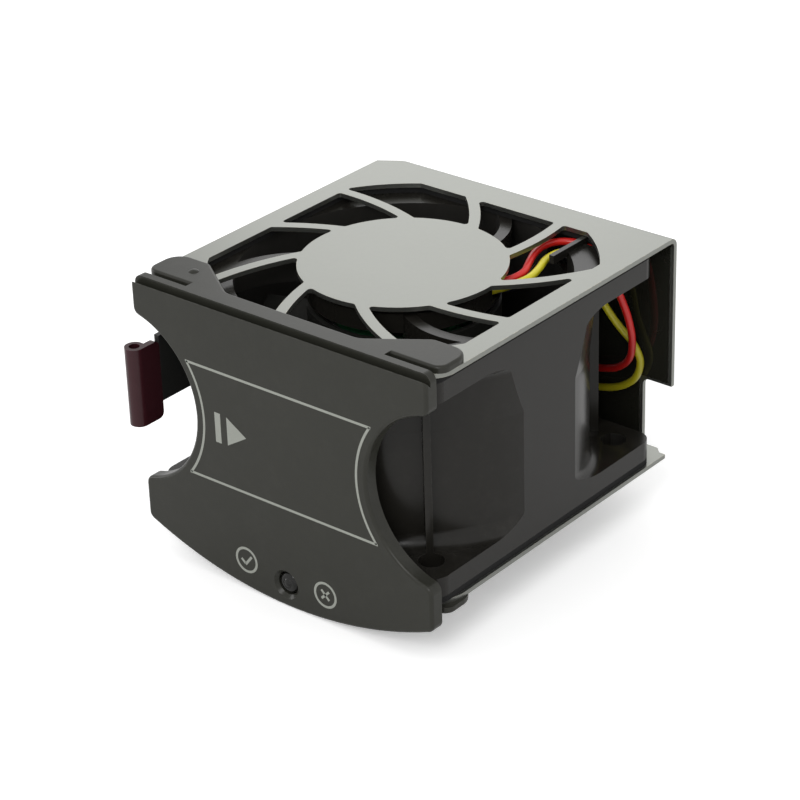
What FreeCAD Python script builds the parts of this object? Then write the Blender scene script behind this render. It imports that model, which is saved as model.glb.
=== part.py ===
"""Server fan module: a 60 mm axial fan in a folded steel cage, with a moulded front bezel,
a squeeze latch on the left side and a power connector through the back plate.

Millimetres. +X is right as seen from the front, +Y runs back from the bezel, +Z is up.
The origin is where the fan's axis meets the underside of the cage's bottom plate.
"""
import FreeCAD
import Part
import math
import os

os.makedirs("parts", exist_ok=True)
V = FreeCAD.Vector
UP = V(0, 0, 1)

# ---- fan ----
FAN_SIZE = 60.0            # square frame, side to side
FAN_HEIGHT = 38.0
FAN_CORNER_R = 3.0
FLANGE_T = 3.5
DUCT_OUTER_R = 30.8        # cut flat by the square's four sides
BORE_R = 28.2
DUCT_FILLET = 2.5
DUCT_KNEE = 13.7           # below the fan's top face, where the duct starts to widen upwards
DUCT_FLARE = 0.8           # how much its radius grows from there
INLET_FLARE = 1.6
HOLE_SPACING = 50.0
HOLE_R = 2.2
RIB_T = 1.2
RIB_TIP_R = 33.5
RIB_ANGLES = (-45.0, 52.0, 135.0, 232.0)

# ---- cage and gaskets ----
SHEET = 0.8
GASKET_T = 1.1
GASKET_INNER_HALF = 27.4
CAGE_WIDTH = 62.0
CAGE_BOTTOM_WIDTH = 61.0
CAGE_BACK = 34.4           # outer face of the back plate, from the fan's axis
BEND_R = 0.8               # inside radius
TOP_FRONT_CORNER_R = 4.5
BOTTOM_FRONT_CORNER_R = 6.5
BOTTOM_REAR_STEP = 0.4     # rear edge of the bottom plate, in from the back plate's outer face
BOTTOM_REAR_CHAMFER = 2.4
NOTCH_HEIGHT = 13.8        # the back plate is narrower below this
NOTCH_HALF_WIDTH = 25.1
NOTCH_CORNER_R = 1.3
TOP_BEND_STEP = 1.4        # left end of the rear fold, from the notch's edge below it
TOP_CHAMFER = 2.8
PIP_R = 0.8
PIP_H = 0.3

# ---- finger guard ----
GUARD_DISC_R = 17.6
GUARD_HALF = 27.0
GUARD_OUTER_R = 32.4
SPOKES = 9
SPOKE_WIDTH = 1.9
SPOKE_START_ANGLE = 7.0
SPOKE_LEAN = 34.0
SPOKE_R = 45.0
SPOKE_SWEEP = 28.0
GUARD_CORNER_R = 0.6

# ---- motor ----
BASE_R = 16.2
BASE_T = 3.3
BASE_POCKET_DEPTH = 2.2
STRUTS = 3
STRUT_START_ANGLE = -48.0
STRUT_T = 2.0
STRUT_HEIGHT = 4.4
STRUT_LEAN = 22.0
SHAFT_R = 1.5
BEARING_R = 4.0
BEARING_W = 3.0
PRELOAD_SPRING_H = 4.2     # between the hub boss and the lower bearing
SPRING_WASHER_T = 0.4
SPRING_WASHER_W = 1.6
SPRING_WASHER_GAP = 0.1    # round the shaft, and between the two washers
BEARING_DEPTH = 1.8        # upper bearing's outer face below the motor base
RUNNING_GAP = 0.03
PRESS_GAP = 0.02
TUBE_R = 5.0
TUBE_SHOULDER_R = 3.2
CORE_R = 12.5
CORE_YOKE_R = 7.2
CORE_HEIGHT = 14.0
POLES = 4
POLE_NECK = 4.0
POLE_SHOE_T = 1.2
POLE_SHOE_ARC = 74.0
INSULATOR_T = 1.0
COIL_T = 1.5
AIR_GAP = 0.4
MAGNET_T = 1.5
MAGNET_INSET = 1.2         # from the yoke's rim
YOKE_RIM_GAP = 0.5         # rim of the yoke below the hub's edge
CORE_DROP = 2.0            # core's middle below the middle of the bearings
YOKE_T = 0.8
BOARD_R = 12.0
BOARD_T = 1.0
BOARD_STANDOFF = 1.2
BOARD_PART_GAP = 1.6       # from the tube and from the board's edge
BOARD_PART_H = 1.2
CHIP_HALF = 2.6

# ---- impeller ----
HUB_R = 16.2
HUB_TOP_GAP = 1.4          # below the motor base
HUB_BOTTOM_GAP = 1.7       # above the fan's lower face
HUB_END_T = 1.6
BLADES = 7
TIP_GAP = 0.6
BLADE_T = 1.3
BLADE_HEIGHT = 26.0
BLADE_ROOT_REACH = 12.0    # how far a blade runs round the hub
BLADE_TIP_REACH = 18.0
BLADE_CAMBER = 2.2
HUB_BOSS_R = 3.2
HUB_BOSS_H = 3.0

# ---- bezel ----
BEZEL_T = 2.5
BEZEL_WIDTH = 62.0
LIP_T = 1.2                # the ears and lip stand this much proud of the sheets
LIP_DEPTH = 2.2
EAR_DEPTH = 8.8
EAR_INNER = 13.9
EAR_SHOULDER = 23.6
EAR_CORNER_R = 3.2
SLOT_INNER = 20.8
SLOT_W = 1.3
SLOT_OPEN_R = 2.0
GRIP_ARC_R = 15.6
GRIP_ARC_REACH = 18.2      # from the middle to the deepest point of the cut-out
GRIP_ARC_HEIGHT = 20.9
BEZEL_SIDE_LOW = -2.2
BEZEL_BOTTOM = -8.9
BEZEL_CORNER_R = 1.5
BEZEL_EDGE_R = 0.6
GROOVE_W = 1.1
GROOVE_DEPTH = 1.2
EAR_PIP_H = 0.35
EAR_PIP_SPHERE_R = 1.4
STUD_X = 28.9
STUD_Y = 24.7
STUD_R = 0.8
STUD_GAP = 0.08
LENS_R = 2.05
LENS_HEIGHT = -4.65
LENS_COLLAR_R = 2.7
LENS_COLLAR_T = 1.0
LENS_GAP = 0.05
LENS_RECESS = 0.4

# ---- latch ----
PIVOT_X = -32.9
PIN_R = 0.8
KNUCKLE_R = 1.6
LATCH_GAP = 0.3
ARM_T = 1.0
ARM_INNER_X = -31.4
ARM_LOW = 17.4
ARM_HIGH = 29.6
ARM_FRONT = -26.7
GRIP_T = 1.2
GRIP_LOW = 14.4
GRIP_HIGH = 28.8
ROLL_Y = -30.8
ROLL_R = 1.7
ROLL_WALL = 0.75
TONGUE_T = 0.4
TONGUE_LENGTH = 2.6
TONGUE_MARGIN = 2.0
HOOK_Y = -16.0
HOOK_LENGTH = 5.0
HOOK_H = 1.6
HOOK_MARGIN = 2.0
BRACKET_T = 0.9
BRACKET_FRONT = -2.5
BRACKET_REAR = 6.8
LUG_T = 1.4
COIL_HEIGHT = 2.8
SPRING_WIRE = 0.5
SPRING_TURNS = 5
SPRING_GAP = 0.06          # round the pin
SPRING_LEG = 5.0
LATCH_SCREW_Y = 4.6
LATCH_SCREW_R = 0.7
LATCH_SCREW_HEAD_R = 1.3
LATCH_SCREW_HEAD_T = 0.45
LATCH_SCREW_LENGTH = 1.4

# ---- rear connector, film and leads ----
FILM_T = 0.25
FILM_MARGIN = 0.6
CONNECTOR_INSET = 9.1      # its middle, from the notch's left edge
CONNECTOR_DROP = 0.563      # share of the fan's height that its middle is below the top face
CONNECTOR_WIDTH = 12.0
CONNECTOR_HEIGHT = 9.0
CONNECTOR_REACH = 6.6      # behind the back plate
CONNECTOR_INNER = 29.6     # its front end, from the fan's axis
COLLAR_T = 1.0
COLLAR_WIDTH = 18.0
CONNECTOR_WALL = 1.1
PANEL_GAP = 0.1
CONTACT_PITCH = 2.5
CONTACTS = 4
CONTACT_W = 1.0
RIVET_R = 0.9
RIVET_HEAD_R = 1.5
RIVET_HEAD_T = 0.6
WIRE_R = 0.65
WIRE_BEND_SHARE = 0.45
WIRE_PITCH = 2.3           # between the leads where they enter the connector
LEAD_STRAIGHT = 3.4        # straight last stretch of each lead
LEAD_DROP = 1.6            # below the fan's top face where they leave the motor base
LEAD_EXIT_ANGLE = 24.0
LEAD_EXIT_R = 11.0
LEAD_SPREAD = 1.9
LEAD_CLEARANCE = 0.4       # under the leads in the notch
LEAD_EXIT_HALF_WIDTH = 3.2
CHANNEL_LEFT = 10.0        # notch in the duct's rim that the leads pass through
CHANNEL_FRONT = 22.0
CHANNEL_DEPTH = 4.4
DROP_RIGHT = 22.6          # slot in the flange behind it
DROP_FRONT = 26.4
DROP_REAR = 29.4
DROP_EXTRA = 2.6           # lower than the notch
GUIDE_X = 16.9             # left face of the lug that keeps the leads in place
GUIDE_T = 0.9
GUIDE_FRONT = 17.6
GUIDE_REAR = 27.1
GUIDE_GAP = 0.1            # under the top plate
GUIDE_H = 1.5

# ---- levels and faces worked out from the sizes above ----
FAN_HALF = FAN_SIZE / 2
FAN_LOW = SHEET + GASKET_T
FAN_HIGH = FAN_LOW + FAN_HEIGHT
TOP_UNDER = FAN_HIGH + GASKET_T
CAGE_HIGH = TOP_UNDER + SHEET
FLANGE_LOW_TOP = FAN_LOW + FLANGE_T
FLANGE_HIGH_UNDER = FAN_HIGH - FLANGE_T
BACK_INNER = CAGE_BACK - SHEET
TOP_BEND_LEFT = NOTCH_HALF_WIDTH + TOP_BEND_STEP
CONNECTOR_X = CONNECTOR_INSET - NOTCH_HALF_WIDTH
CONNECTOR_Z = FAN_HIGH - CONNECTOR_DROP * FAN_HEIGHT
BEZEL_FRONT = -FAN_HALF - BEZEL_T
LIP_HIGH = CAGE_HIGH + LIP_T
BASE_LOW = FAN_HIGH - BASE_T
HUB_LOW = FAN_LOW + HUB_BOTTOM_GAP
HUB_HIGH = BASE_LOW - HUB_TOP_GAP
YOKE_R = HUB_R - 1.0
YOKE_LOW = HUB_LOW + HUB_END_T
MAGNET_R = YOKE_R - YOKE_T
TIP_R = BORE_R - TIP_GAP
TUBE_HIGH = BASE_LOW + BASE_POCKET_DEPTH
UPPER_BEARING_HIGH = BASE_LOW - BEARING_DEPTH
HUB_BOSS_HIGH = YOKE_LOW + YOKE_T + HUB_BOSS_H
LOWER_BEARING_LOW = HUB_BOSS_HIGH + PRELOAD_SPRING_H
YOKE_HIGH = HUB_HIGH - YOKE_RIM_GAP
CORE_MID = (LOWER_BEARING_LOW + UPPER_BEARING_HIGH) / 2 - CORE_DROP
MAGNET_HIGH = YOKE_HIGH - MAGNET_INSET
MAGNET_LOW = 2 * CORE_MID - MAGNET_HIGH
CORE_LOW = CORE_MID - CORE_HEIGHT / 2
CORE_HIGH = CORE_MID + CORE_HEIGHT / 2
BOARD_LOW = CORE_HIGH + INSULATOR_T + BOARD_STANDOFF
ARM_OUTER_X = ARM_INNER_X - ARM_T
SPRING_OUTER_R = PIN_R + SPRING_GAP + SPRING_WIRE
LEAD_LEVEL = FAN_HIGH - LEAD_DROP


def box(x0, x1, y0, y1, z0, z1):
    """Box between two corners."""
    return Part.makeBox(x1 - x0, y1 - y0, z1 - z0, V(x0, y0, z0))


def cylinder(radius, z0, z1, x=0.0, y=0.0):
    """Upright cylinder between two levels."""
    return Part.makeCylinder(radius, z1 - z0, V(x, y, z0), UP)


def cylinder_y(radius, y0, y1, x, z):
    """Cylinder along Y between two depths."""
    return Part.makeCylinder(radius, y1 - y0, V(x, y0, z), V(0, 1, 0))


def ring(outer, inner, z0, z1, x=0.0, y=0.0):
    """Upright tube between two levels."""
    return cylinder(outer, z0, z1, x, y).cut(cylinder(inner, z0 - 1, z1 + 1, x, y))


def polar(radius, angle, z=0.0):
    """Point at an angle in degrees about the fan's axis."""
    turn = math.radians(angle)
    return V(radius * math.cos(turn), radius * math.sin(turn), z)


def turned(shape, angle, centre=V(0, 0, 0)):
    """Copy of a shape turned about an upright axis."""
    copy = shape.copy()
    copy.rotate(centre, UP, angle)
    return copy


def fuse_all(shapes):
    """One shape from several that touch."""
    return shapes[0].multiFuse(shapes[1:]).removeSplitter()


def pick_edges(shape, test):
    """Edges whose two ends and middle all pass a test."""
    found = []
    for edge in shape.Edges:
        span = edge.ParameterRange
        points = [edge.valueAt(span[0] + share * (span[1] - span[0])) for share in (0, 0.5, 1)]
        if all(test(point) for point in points):
            found.append(edge)
    return found


def is_upright(edge):
    """Whether a straight edge runs along Z."""
    if not isinstance(edge.Curve, Part.Line):
        return False
    along = edge.Vertexes[0].Point.sub(edge.Vertexes[-1].Point)
    return abs(along.x) < 1e-6 and abs(along.y) < 1e-6


def upright_at(shape, x, y, reach=0.05):
    """Upright straight edges of a shape at one place in plan."""
    return [edge for edge in shape.Edges if is_upright(edge)
            and abs(edge.Vertexes[0].Point.x - x) < reach
            and abs(edge.Vertexes[0].Point.y - y) < reach]


def rounded_square(half, radius, z0, z1):
    """Square prism about the axis with rounded upright edges."""
    block = box(-half, half, -half, half, z0, z1)
    return block.makeFillet(radius, [edge for edge in block.Edges if is_upright(edge)])


def revolve(points):
    """Solid of revolution about Z from (radius, level) points, closed."""
    corners = [V(radius, 0, level) for radius, level in points]
    face = Part.Face(Part.makePolygon(corners + corners[:1]))
    return face.revolve(V(0, 0, 0), UP, 360)


def polygon_plate(points, z0, z1):
    """Flat plate from (x, y) points, closed."""
    corners = [V(x, y, z0) for x, y in points]
    face = Part.Face(Part.makePolygon(corners + corners[:1]))
    return face.extrude(V(0, 0, z1 - z0))


def arc_edge(start, middle, end):
    """Circular edge through three points."""
    return Part.Arc(start, middle, end).toShape()


def line_edge(start, end):
    """Straight edge between two points."""
    return Part.LineSegment(start, end).toShape()


def band_face(first, second):
    """Flat band between two arcs, each given by its start, middle and end."""
    return Part.Face(Part.Wire([arc_edge(*first), line_edge(first[2], second[2]),
                                arc_edge(*second[::-1]), line_edge(second[0], first[0])]))


def save(shape, node):
    """Writes one node's STEP file."""
    for solid in shape.Solids:
        if not solid.isValid():
            raise ValueError(node + " has a bad solid")
    shape.exportStep("parts/" + node + ".step")
    print(node, len(shape.Solids), "solids", round(shape.Volume, 1), "mm3")


# ---------------------------------------------------------------- fan frame
def duct_wall():
    """Round duct that widens a little above its knee and runs into both flanges with a fillet."""
    skirt, brim_r = DUCT_OUTER_R + DUCT_FILLET, DUCT_OUTER_R + DUCT_FLARE
    brim = brim_r + DUCT_FILLET
    bend = DUCT_FILLET * (1 - math.sqrt(0.5))
    low, high = FLANGE_LOW_TOP, FLANGE_HIGH_UNDER
    foot, head = V(DUCT_OUTER_R, 0, low + DUCT_FILLET), V(brim_r, 0, high - DUCT_FILLET)
    knee = V(DUCT_OUTER_R, 0, FAN_HIGH - DUCT_KNEE)
    outline = [V(brim, 0, high), V(brim, 0, FAN_HIGH),
               V(BORE_R, 0, FAN_HIGH), V(BORE_R, 0, FAN_LOW), V(skirt, 0, FAN_LOW), V(skirt, 0, low)]
    edges = [arc_edge(V(skirt, 0, low), V(DUCT_OUTER_R + bend, 0, low + bend), foot),
             line_edge(foot, knee), line_edge(knee, head),
             arc_edge(head, V(brim_r + bend, 0, high - bend), outline[0])]
    edges += [line_edge(start, end) for start, end in zip(outline, outline[1:])]
    return Part.Face(Part.Wire(edges)).revolve(V(0, 0, 0), UP, 360)


def corner_rib(angle):
    """Upright web on the duct that joins the two flanges near a corner."""
    web = box(BORE_R + 1, RIB_TIP_R, -RIB_T / 2, RIB_T / 2, FLANGE_LOW_TOP, FLANGE_HIGH_UNDER)
    return turned(web, angle)


def strut(angle):
    """Curved arm from the motor base to the duct wall."""
    start = polar(BASE_R - 1, angle)
    end = polar(BORE_R + 1, angle + STRUT_LEAN)
    middle = polar((BASE_R + BORE_R) / 2, angle + STRUT_LEAN * 0.36)
    path = Part.Arc(start, middle, end).toShape().Curve
    outlines = []
    for side in (-STRUT_T / 2, STRUT_T / 2):
        outlines.append([path.Center + place.sub(path.Center).normalize() * (path.Radius + side)
                         for place in (start, middle, end)])
    face = band_face(*outlines)
    face.translate(V(0, 0, FAN_HIGH - STRUT_HEIGHT))
    return face.extrude(V(0, 0, STRUT_HEIGHT))


def lead_channel():
    """Cutter for the notch in the duct's rim and the slot in the flange behind it."""
    low = FAN_HIGH - CHANNEL_DEPTH
    notch = box(CHANNEL_LEFT, GUIDE_X, CHANNEL_FRONT, DROP_REAR, low, FAN_HIGH + 1)
    slot = box(CHANNEL_LEFT, DROP_RIGHT, DROP_FRONT, DROP_REAR, low - DROP_EXTRA, FAN_HIGH + 1)
    return notch.fuse(slot)


def lead_exit():
    """Cutter for the notch in the motor base where the leads start."""
    notch = box(LEAD_EXIT_R, BASE_R + 1, -LEAD_EXIT_HALF_WIDTH, LEAD_EXIT_HALF_WIDTH,
                LEAD_LEVEL - WIRE_R - LEAD_CLEARANCE, FAN_HIGH + 1)
    return turned(notch, LEAD_EXIT_ANGLE)


def lead_guide():
    """Lug on the duct's rim, just under the top plate, beside the channel."""
    high = TOP_UNDER - GUIDE_GAP
    return box(GUIDE_X, GUIDE_X + GUIDE_T, GUIDE_FRONT, GUIDE_REAR, high - GUIDE_H, high)


def latch_screw_places():
    """Centres of the two screws that hold the latch bracket, as (y, z)."""
    inset = LATCH_SCREW_HEAD_R + 0.4
    return [(LATCH_SCREW_Y, ARM_LOW + inset), (LATCH_SCREW_Y, ARM_HIGH - inset)]


def fan_frame():
    """Square moulding: flanges, duct, ribs, motor base and struts."""
    square = rounded_square(FAN_HALF, FAN_CORNER_R, FAN_LOW, FAN_HIGH)
    frame = duct_wall().common(square)
    for z0, z1 in ((FAN_LOW, FLANGE_LOW_TOP), (FLANGE_HIGH_UNDER, FAN_HIGH)):
        flange = rounded_square(FAN_HALF, FAN_CORNER_R, z0, z1)
        frame = frame.fuse(flange.cut(cylinder(BORE_R, z0 - 1, z1 + 1)))
    frame = fuse_all([frame] + [corner_rib(angle) for angle in RIB_ANGLES])
    flare = Part.makeCone(BORE_R + INLET_FLARE, BORE_R, FLANGE_T, V(0, 0, FAN_LOW), UP)
    frame = frame.cut(flare)
    for x in (-HOLE_SPACING / 2, HOLE_SPACING / 2):
        for y in (-HOLE_SPACING / 2, HOLE_SPACING / 2):
            frame = frame.cut(cylinder(HOLE_R, FAN_LOW - 1, FAN_HIGH + 1, x, y))
    base = cylinder(BASE_R, BASE_LOW, FAN_HIGH)
    base = base.cut(cylinder(TUBE_R + PRESS_GAP, BASE_LOW - 1, TUBE_HIGH))
    base = base.cut(lead_exit())
    spacing = 360.0 / STRUTS
    arms = [strut(STRUT_START_ANGLE + number * spacing) for number in range(STRUTS)]
    arms = [arm.cut(cylinder(BASE_R - 0.5, BASE_LOW - 5, FAN_HIGH + 1)) for arm in arms]
    frame = fuse_all([frame.cut(lead_channel()), base, lead_guide()] + arms)
    for y, z in latch_screw_places():
        hole = Part.makeCylinder(LATCH_SCREW_R, LATCH_SCREW_LENGTH, V(-FAN_HALF, y, z), V(1, 0, 0))
        frame = frame.cut(hole)
    return frame


# ---------------------------------------------------------------- cage
def spoke(angle):
    """Flat curved strip of the finger guard, from under the disc outwards."""
    start = polar(GUARD_DISC_R, angle)
    heading = math.radians(angle + SPOKE_LEAN)
    centre = start + V(-math.sin(heading), math.cos(heading), 0) * SPOKE_R
    first = math.degrees(math.atan2(start.y - centre.y, start.x - centre.x))
    angles = [first - 3, first + SPOKE_SWEEP / 2, first + SPOKE_SWEEP]
    return band_face(*[[centre + polar(SPOKE_R + side, turn) for turn in angles]
                       for side in (-SPOKE_WIDTH / 2, SPOKE_WIDTH / 2)])


def disc_face(radius):
    """Flat round face about the axis at level 0."""
    return Part.Face(Part.Wire(Part.Circle(V(0, 0, 0), UP, radius).toShape()))


def guard_openings(z0, z1):
    """Cutter for the openings of the finger guard."""
    half = GUARD_HALF
    corners = [V(-half, -half, 0), V(half, -half, 0), V(half, half, 0), V(-half, half, 0)]
    field = Part.Face(Part.makePolygon(corners + corners[:1])).common(disc_face(GUARD_OUTER_R))
    field = field.cut(disc_face(GUARD_DISC_R))
    for number in range(SPOKES):
        field = field.cut(spoke(SPOKE_START_ANGLE + number * 360.0 / SPOKES))
    tools = []
    for opening in field.Faces:
        eased = opening.makeOffset2D(-GUARD_CORNER_R).makeOffset2D(GUARD_CORNER_R)
        eased.translate(V(0, 0, z0))
        tools.append(eased.extrude(V(0, 0, z1 - z0)))
    return Part.makeCompound(tools)


def folded_strip():
    """C-shaped strip: top plate, rounded fold, back plate, rounded fold, bottom plate."""
    half = CAGE_WIDTH / 2
    outer = box(-half, half, -FAN_HALF, CAGE_BACK, 0, CAGE_HIGH)
    back_edges = pick_edges(outer, lambda p: abs(p.y - CAGE_BACK) < 1e-6
                            and (abs(p.z) < 1e-6 or abs(p.z - CAGE_HIGH) < 1e-6))
    outer = outer.makeFillet(BEND_R + SHEET, back_edges)
    inner = box(-half - 1, half + 1, -FAN_HALF - 1, BACK_INNER, SHEET, TOP_UNDER)
    inner_edges = pick_edges(inner, lambda p: abs(p.y - BACK_INNER) < 1e-6
                             and (abs(p.z - SHEET) < 1e-6 or abs(p.z - TOP_UNDER) < 1e-6))
    return outer.cut(inner.makeFillet(BEND_R, inner_edges))


def back_notch(side):
    """Cutter that narrows the back plate on one side, with a rounded inner corner."""
    inner_x = side * NOTCH_HALF_WIDTH
    outer_x = side * (CAGE_WIDTH / 2 + 1)
    low_x, high_x = min(inner_x, outer_x), max(inner_x, outer_x)
    cutter = box(low_x, high_x, CAGE_BACK - SHEET - BEND_R, CAGE_BACK + 1, -1, NOTCH_HEIGHT)
    corner = pick_edges(cutter, lambda p: abs(p.x - inner_x) < 1e-6
                        and abs(p.z - NOTCH_HEIGHT) < 1e-6)
    return cutter.makeFillet(NOTCH_CORNER_R, corner)


def bottom_rear_corner(side):
    """Flat corner of the bottom plate beside the narrow fold, with its tip cut off."""
    x0, x1 = NOTCH_HALF_WIDTH - 0.4, CAGE_BOTTOM_WIDTH / 2
    rear = CAGE_BACK - BOTTOM_REAR_STEP
    plate = box(x0, x1, FAN_HALF, rear, 0, SHEET)
    plate = plate.makeChamfer(BOTTOM_REAR_CHAMFER, upright_at(plate, x1, rear))
    if side < 0:
        plate = plate.mirror(V(0, 0, 0), V(1, 0, 0))
    return plate.cut(box(-NOTCH_HALF_WIDTH, NOTCH_HALF_WIDTH, FAN_HALF, CAGE_BACK + 1, -1, 2))


def top_left_relief():
    """Cutter for the left end of the rear fold and the chamfer beside it."""
    left = -CAGE_WIDTH / 2 - 1
    fold_start = CAGE_BACK - SHEET - BEND_R
    end = box(left, -TOP_BEND_LEFT, fold_start + 0.6, CAGE_BACK + 1, -1, CAGE_HIGH + 1)
    corner_y = fold_start + 0.6
    chamfer = polygon_plate([(left, corner_y + 0.1), (left, corner_y - TOP_CHAMFER),
                             (-CAGE_WIDTH / 2, corner_y - TOP_CHAMFER),
                             (-TOP_BEND_LEFT, corner_y + 0.1)], TOP_UNDER - 1, CAGE_HIGH + 1)
    return end.fuse(chamfer)


def cage():
    """Folded steel cage with a finger guard in its top and bottom plates."""
    body = folded_strip()
    top_half, low_half = CAGE_WIDTH / 2, CAGE_BOTTOM_WIDTH / 2
    for side in (-1, 1):
        body = body.cut(back_notch(side))
        x0, x1 = sorted((side * low_half, side * (top_half + 1)))
        body = body.cut(box(x0, x1, -FAN_HALF - 1, CAGE_BACK + 1, -1, SHEET + 1))
    body = body.cut(top_left_relief())
    body = fuse_all([body, bottom_rear_corner(-1), bottom_rear_corner(1)])
    for side in (-1, 1):
        body = body.makeFillet(TOP_FRONT_CORNER_R, upright_at(body, side * top_half, -FAN_HALF))
        body = body.makeFillet(BOTTOM_FRONT_CORNER_R, upright_at(body, side * low_half, -FAN_HALF))
    for z0, z1 in ((-1, SHEET + 1), (TOP_UNDER - 1, CAGE_HIGH + 1)):
        body = body.cut(guard_openings(z0, z1))
    for x in (-STUD_X, STUD_X):
        body = body.cut(cylinder(STUD_R + STUD_GAP, -1, CAGE_HIGH + 1, x, -STUD_Y))
    body = body.cut(connector_shell(PANEL_GAP))
    for x in rivet_places():
        body = body.cut(cylinder_y(RIVET_R + PRESS_GAP, BACK_INNER - 1, CAGE_BACK + 1, x, CONNECTOR_Z))
    pip_x = CAGE_WIDTH / 2 - PIP_R - 0.3
    pip = Part.makeCone(PIP_R, PIP_R * 0.5, PIP_H, V(pip_x, CAGE_BACK, CAGE_HIGH * 0.68), V(0, 1, 0))
    return body.fuse(pip).removeSplitter()


def gasket(z0):
    """Foam frame between the fan and a plate, open where the finger guard is."""
    outer = rounded_square(FAN_HALF, FAN_CORNER_R, z0, z0 + GASKET_T)
    half = GASKET_INNER_HALF
    inner = box(-half, half, -half, half, z0 - 1, z0 + GASKET_T + 1)
    return outer.cut(inner.common(cylinder(GUARD_OUTER_R + 0.4, z0 - 1, z0 + GASKET_T + 1)))


# ---------------------------------------------------------------- motor
def bearing_tube():
    """Brass tube in the motor base, with a shoulder between the bearings."""
    tube = ring(TUBE_R, TUBE_SHOULDER_R, LOWER_BEARING_LOW - 0.5, TUBE_HIGH)
    seat = BEARING_R + PRESS_GAP
    tube = tube.cut(cylinder(seat, LOWER_BEARING_LOW - 1, LOWER_BEARING_LOW + BEARING_W))
    return tube.cut(cylinder(seat, UPPER_BEARING_HIGH - BEARING_W, TUBE_HIGH + 1))


def bearing(z0):
    """Small ball bearing, with the groove between its rings on both faces."""
    body = ring(BEARING_R, SHAFT_R + RUNNING_GAP, z0, z0 + BEARING_W)
    inner, outer = SHAFT_R + 0.8, BEARING_R - 0.7
    body = body.cut(ring(outer, inner, z0 - 1, z0 + 0.4))
    return body.cut(ring(outer, inner, z0 + BEARING_W - 0.4, z0 + BEARING_W + 1))


def pole_plate(z0, z1, trim=0.0):
    """Stator lamination shape: a hub with necks and curved shoes."""
    parts = [ring(CORE_YOKE_R, TUBE_R + PRESS_GAP, z0, z1)]
    shoe = ring(CORE_R - trim, CORE_R - POLE_SHOE_T, z0, z1)
    half = POLE_SHOE_ARC / 2
    wedge = polygon_plate([(0, 0)] + [(2 * CORE_R * math.cos(math.radians(turn)),
                                       2 * CORE_R * math.sin(math.radians(turn)))
                                      for turn in (-half, 0, half)], z0, z1)
    shoe = shoe.common(wedge)
    neck = box(CORE_YOKE_R - 0.5, CORE_R - POLE_SHOE_T + 0.3, -POLE_NECK / 2, POLE_NECK / 2, z0, z1)
    for number in range(POLES):
        angle = number * 360.0 / POLES
        parts += [turned(neck, angle), turned(shoe, angle)]
    return fuse_all(parts)


def stator_core():
    """Stack of steel laminations."""
    return pole_plate(CORE_LOW, CORE_HIGH)


def stator_insulators():
    """Plastic end plates above and below the core; the upper carries the board's pegs."""
    lower = pole_plate(CORE_LOW - INSULATOR_T, CORE_LOW, 0.3)
    upper = pole_plate(CORE_HIGH, CORE_HIGH + INSULATOR_T, 0.3)
    pegs = []
    for number in range(POLES):
        place = polar(CORE_YOKE_R - 1.0, 45 + number * 360.0 / POLES)
        pegs.append(cylinder(0.8, CORE_HIGH, BOARD_LOW, place.x, place.y))
    return Part.makeCompound([lower, fuse_all([upper] + pegs)])


def stator_coils():
    """One wound copper coil round each neck."""
    clear = 0.05
    low, high = CORE_LOW - INSULATOR_T - clear, CORE_HIGH + INSULATOR_T + clear
    half = POLE_NECK / 2 + clear
    inner_x = CORE_YOKE_R + 0.3
    outer_x = math.sqrt((CORE_R - POLE_SHOE_T) ** 2 - (half + COIL_T) ** 2) - 0.1
    wound = box(inner_x, outer_x, -half - COIL_T, half + COIL_T, low - COIL_T, high + COIL_T * 0.6)
    wound = wound.makeFillet(COIL_T * 0.5, [edge for edge in wound.Edges
                                            if abs(edge.Vertexes[0].Point.x - edge.Vertexes[-1].Point.x) > 1])
    wound = wound.cut(box(inner_x - 1, outer_x + 1, -half, half, low, high))
    return Part.makeCompound([turned(wound, number * 360.0 / POLES) for number in range(POLES)])


def circuit_board():
    """Motor driver board on the upper insulator's pegs, with its parts."""
    top = BOARD_LOW + BOARD_T
    board = ring(BOARD_R, TUBE_R + 0.15, BOARD_LOW, top)
    low, high = TUBE_R + BOARD_PART_GAP, BOARD_R - BOARD_PART_GAP
    chip = box(-high, -low, -CHIP_HALF, CHIP_HALF, top, top + BOARD_PART_H)
    capacitor = box(low, high, -CHIP_HALF / 2, CHIP_HALF / 2, top, top + BOARD_PART_H)
    sensor = box(-CHIP_HALF / 2, CHIP_HALF / 2, low, high, top, top + BOARD_PART_H)
    return fuse_all([board, chip, capacitor, sensor])


def shaft():
    """Steel shaft with a groove for the clip and eased ends."""
    groove = UPPER_BEARING_HIGH + 0.4
    low, high = YOKE_LOW, UPPER_BEARING_HIGH + 1.7
    inner = SHAFT_R - 0.35
    return revolve([(0, low), (SHAFT_R - 0.2, low), (SHAFT_R, low + 0.2), (SHAFT_R, groove),
                    (inner, groove), (inner, groove + 0.5), (SHAFT_R, groove + 0.5),
                    (SHAFT_R, high - 0.3), (SHAFT_R - 0.3, high), (0, high)])


def retaining_clip():
    """Open ring in the shaft's groove, just above the upper bearing."""
    low = UPPER_BEARING_HIGH + 0.45
    clip = ring(SHAFT_R + 1.1, SHAFT_R - 0.33, low, low + 0.4)
    return clip.cut(box(0, SHAFT_R + 2, -0.9, 0.9, low - 1, low + 1))


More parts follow.
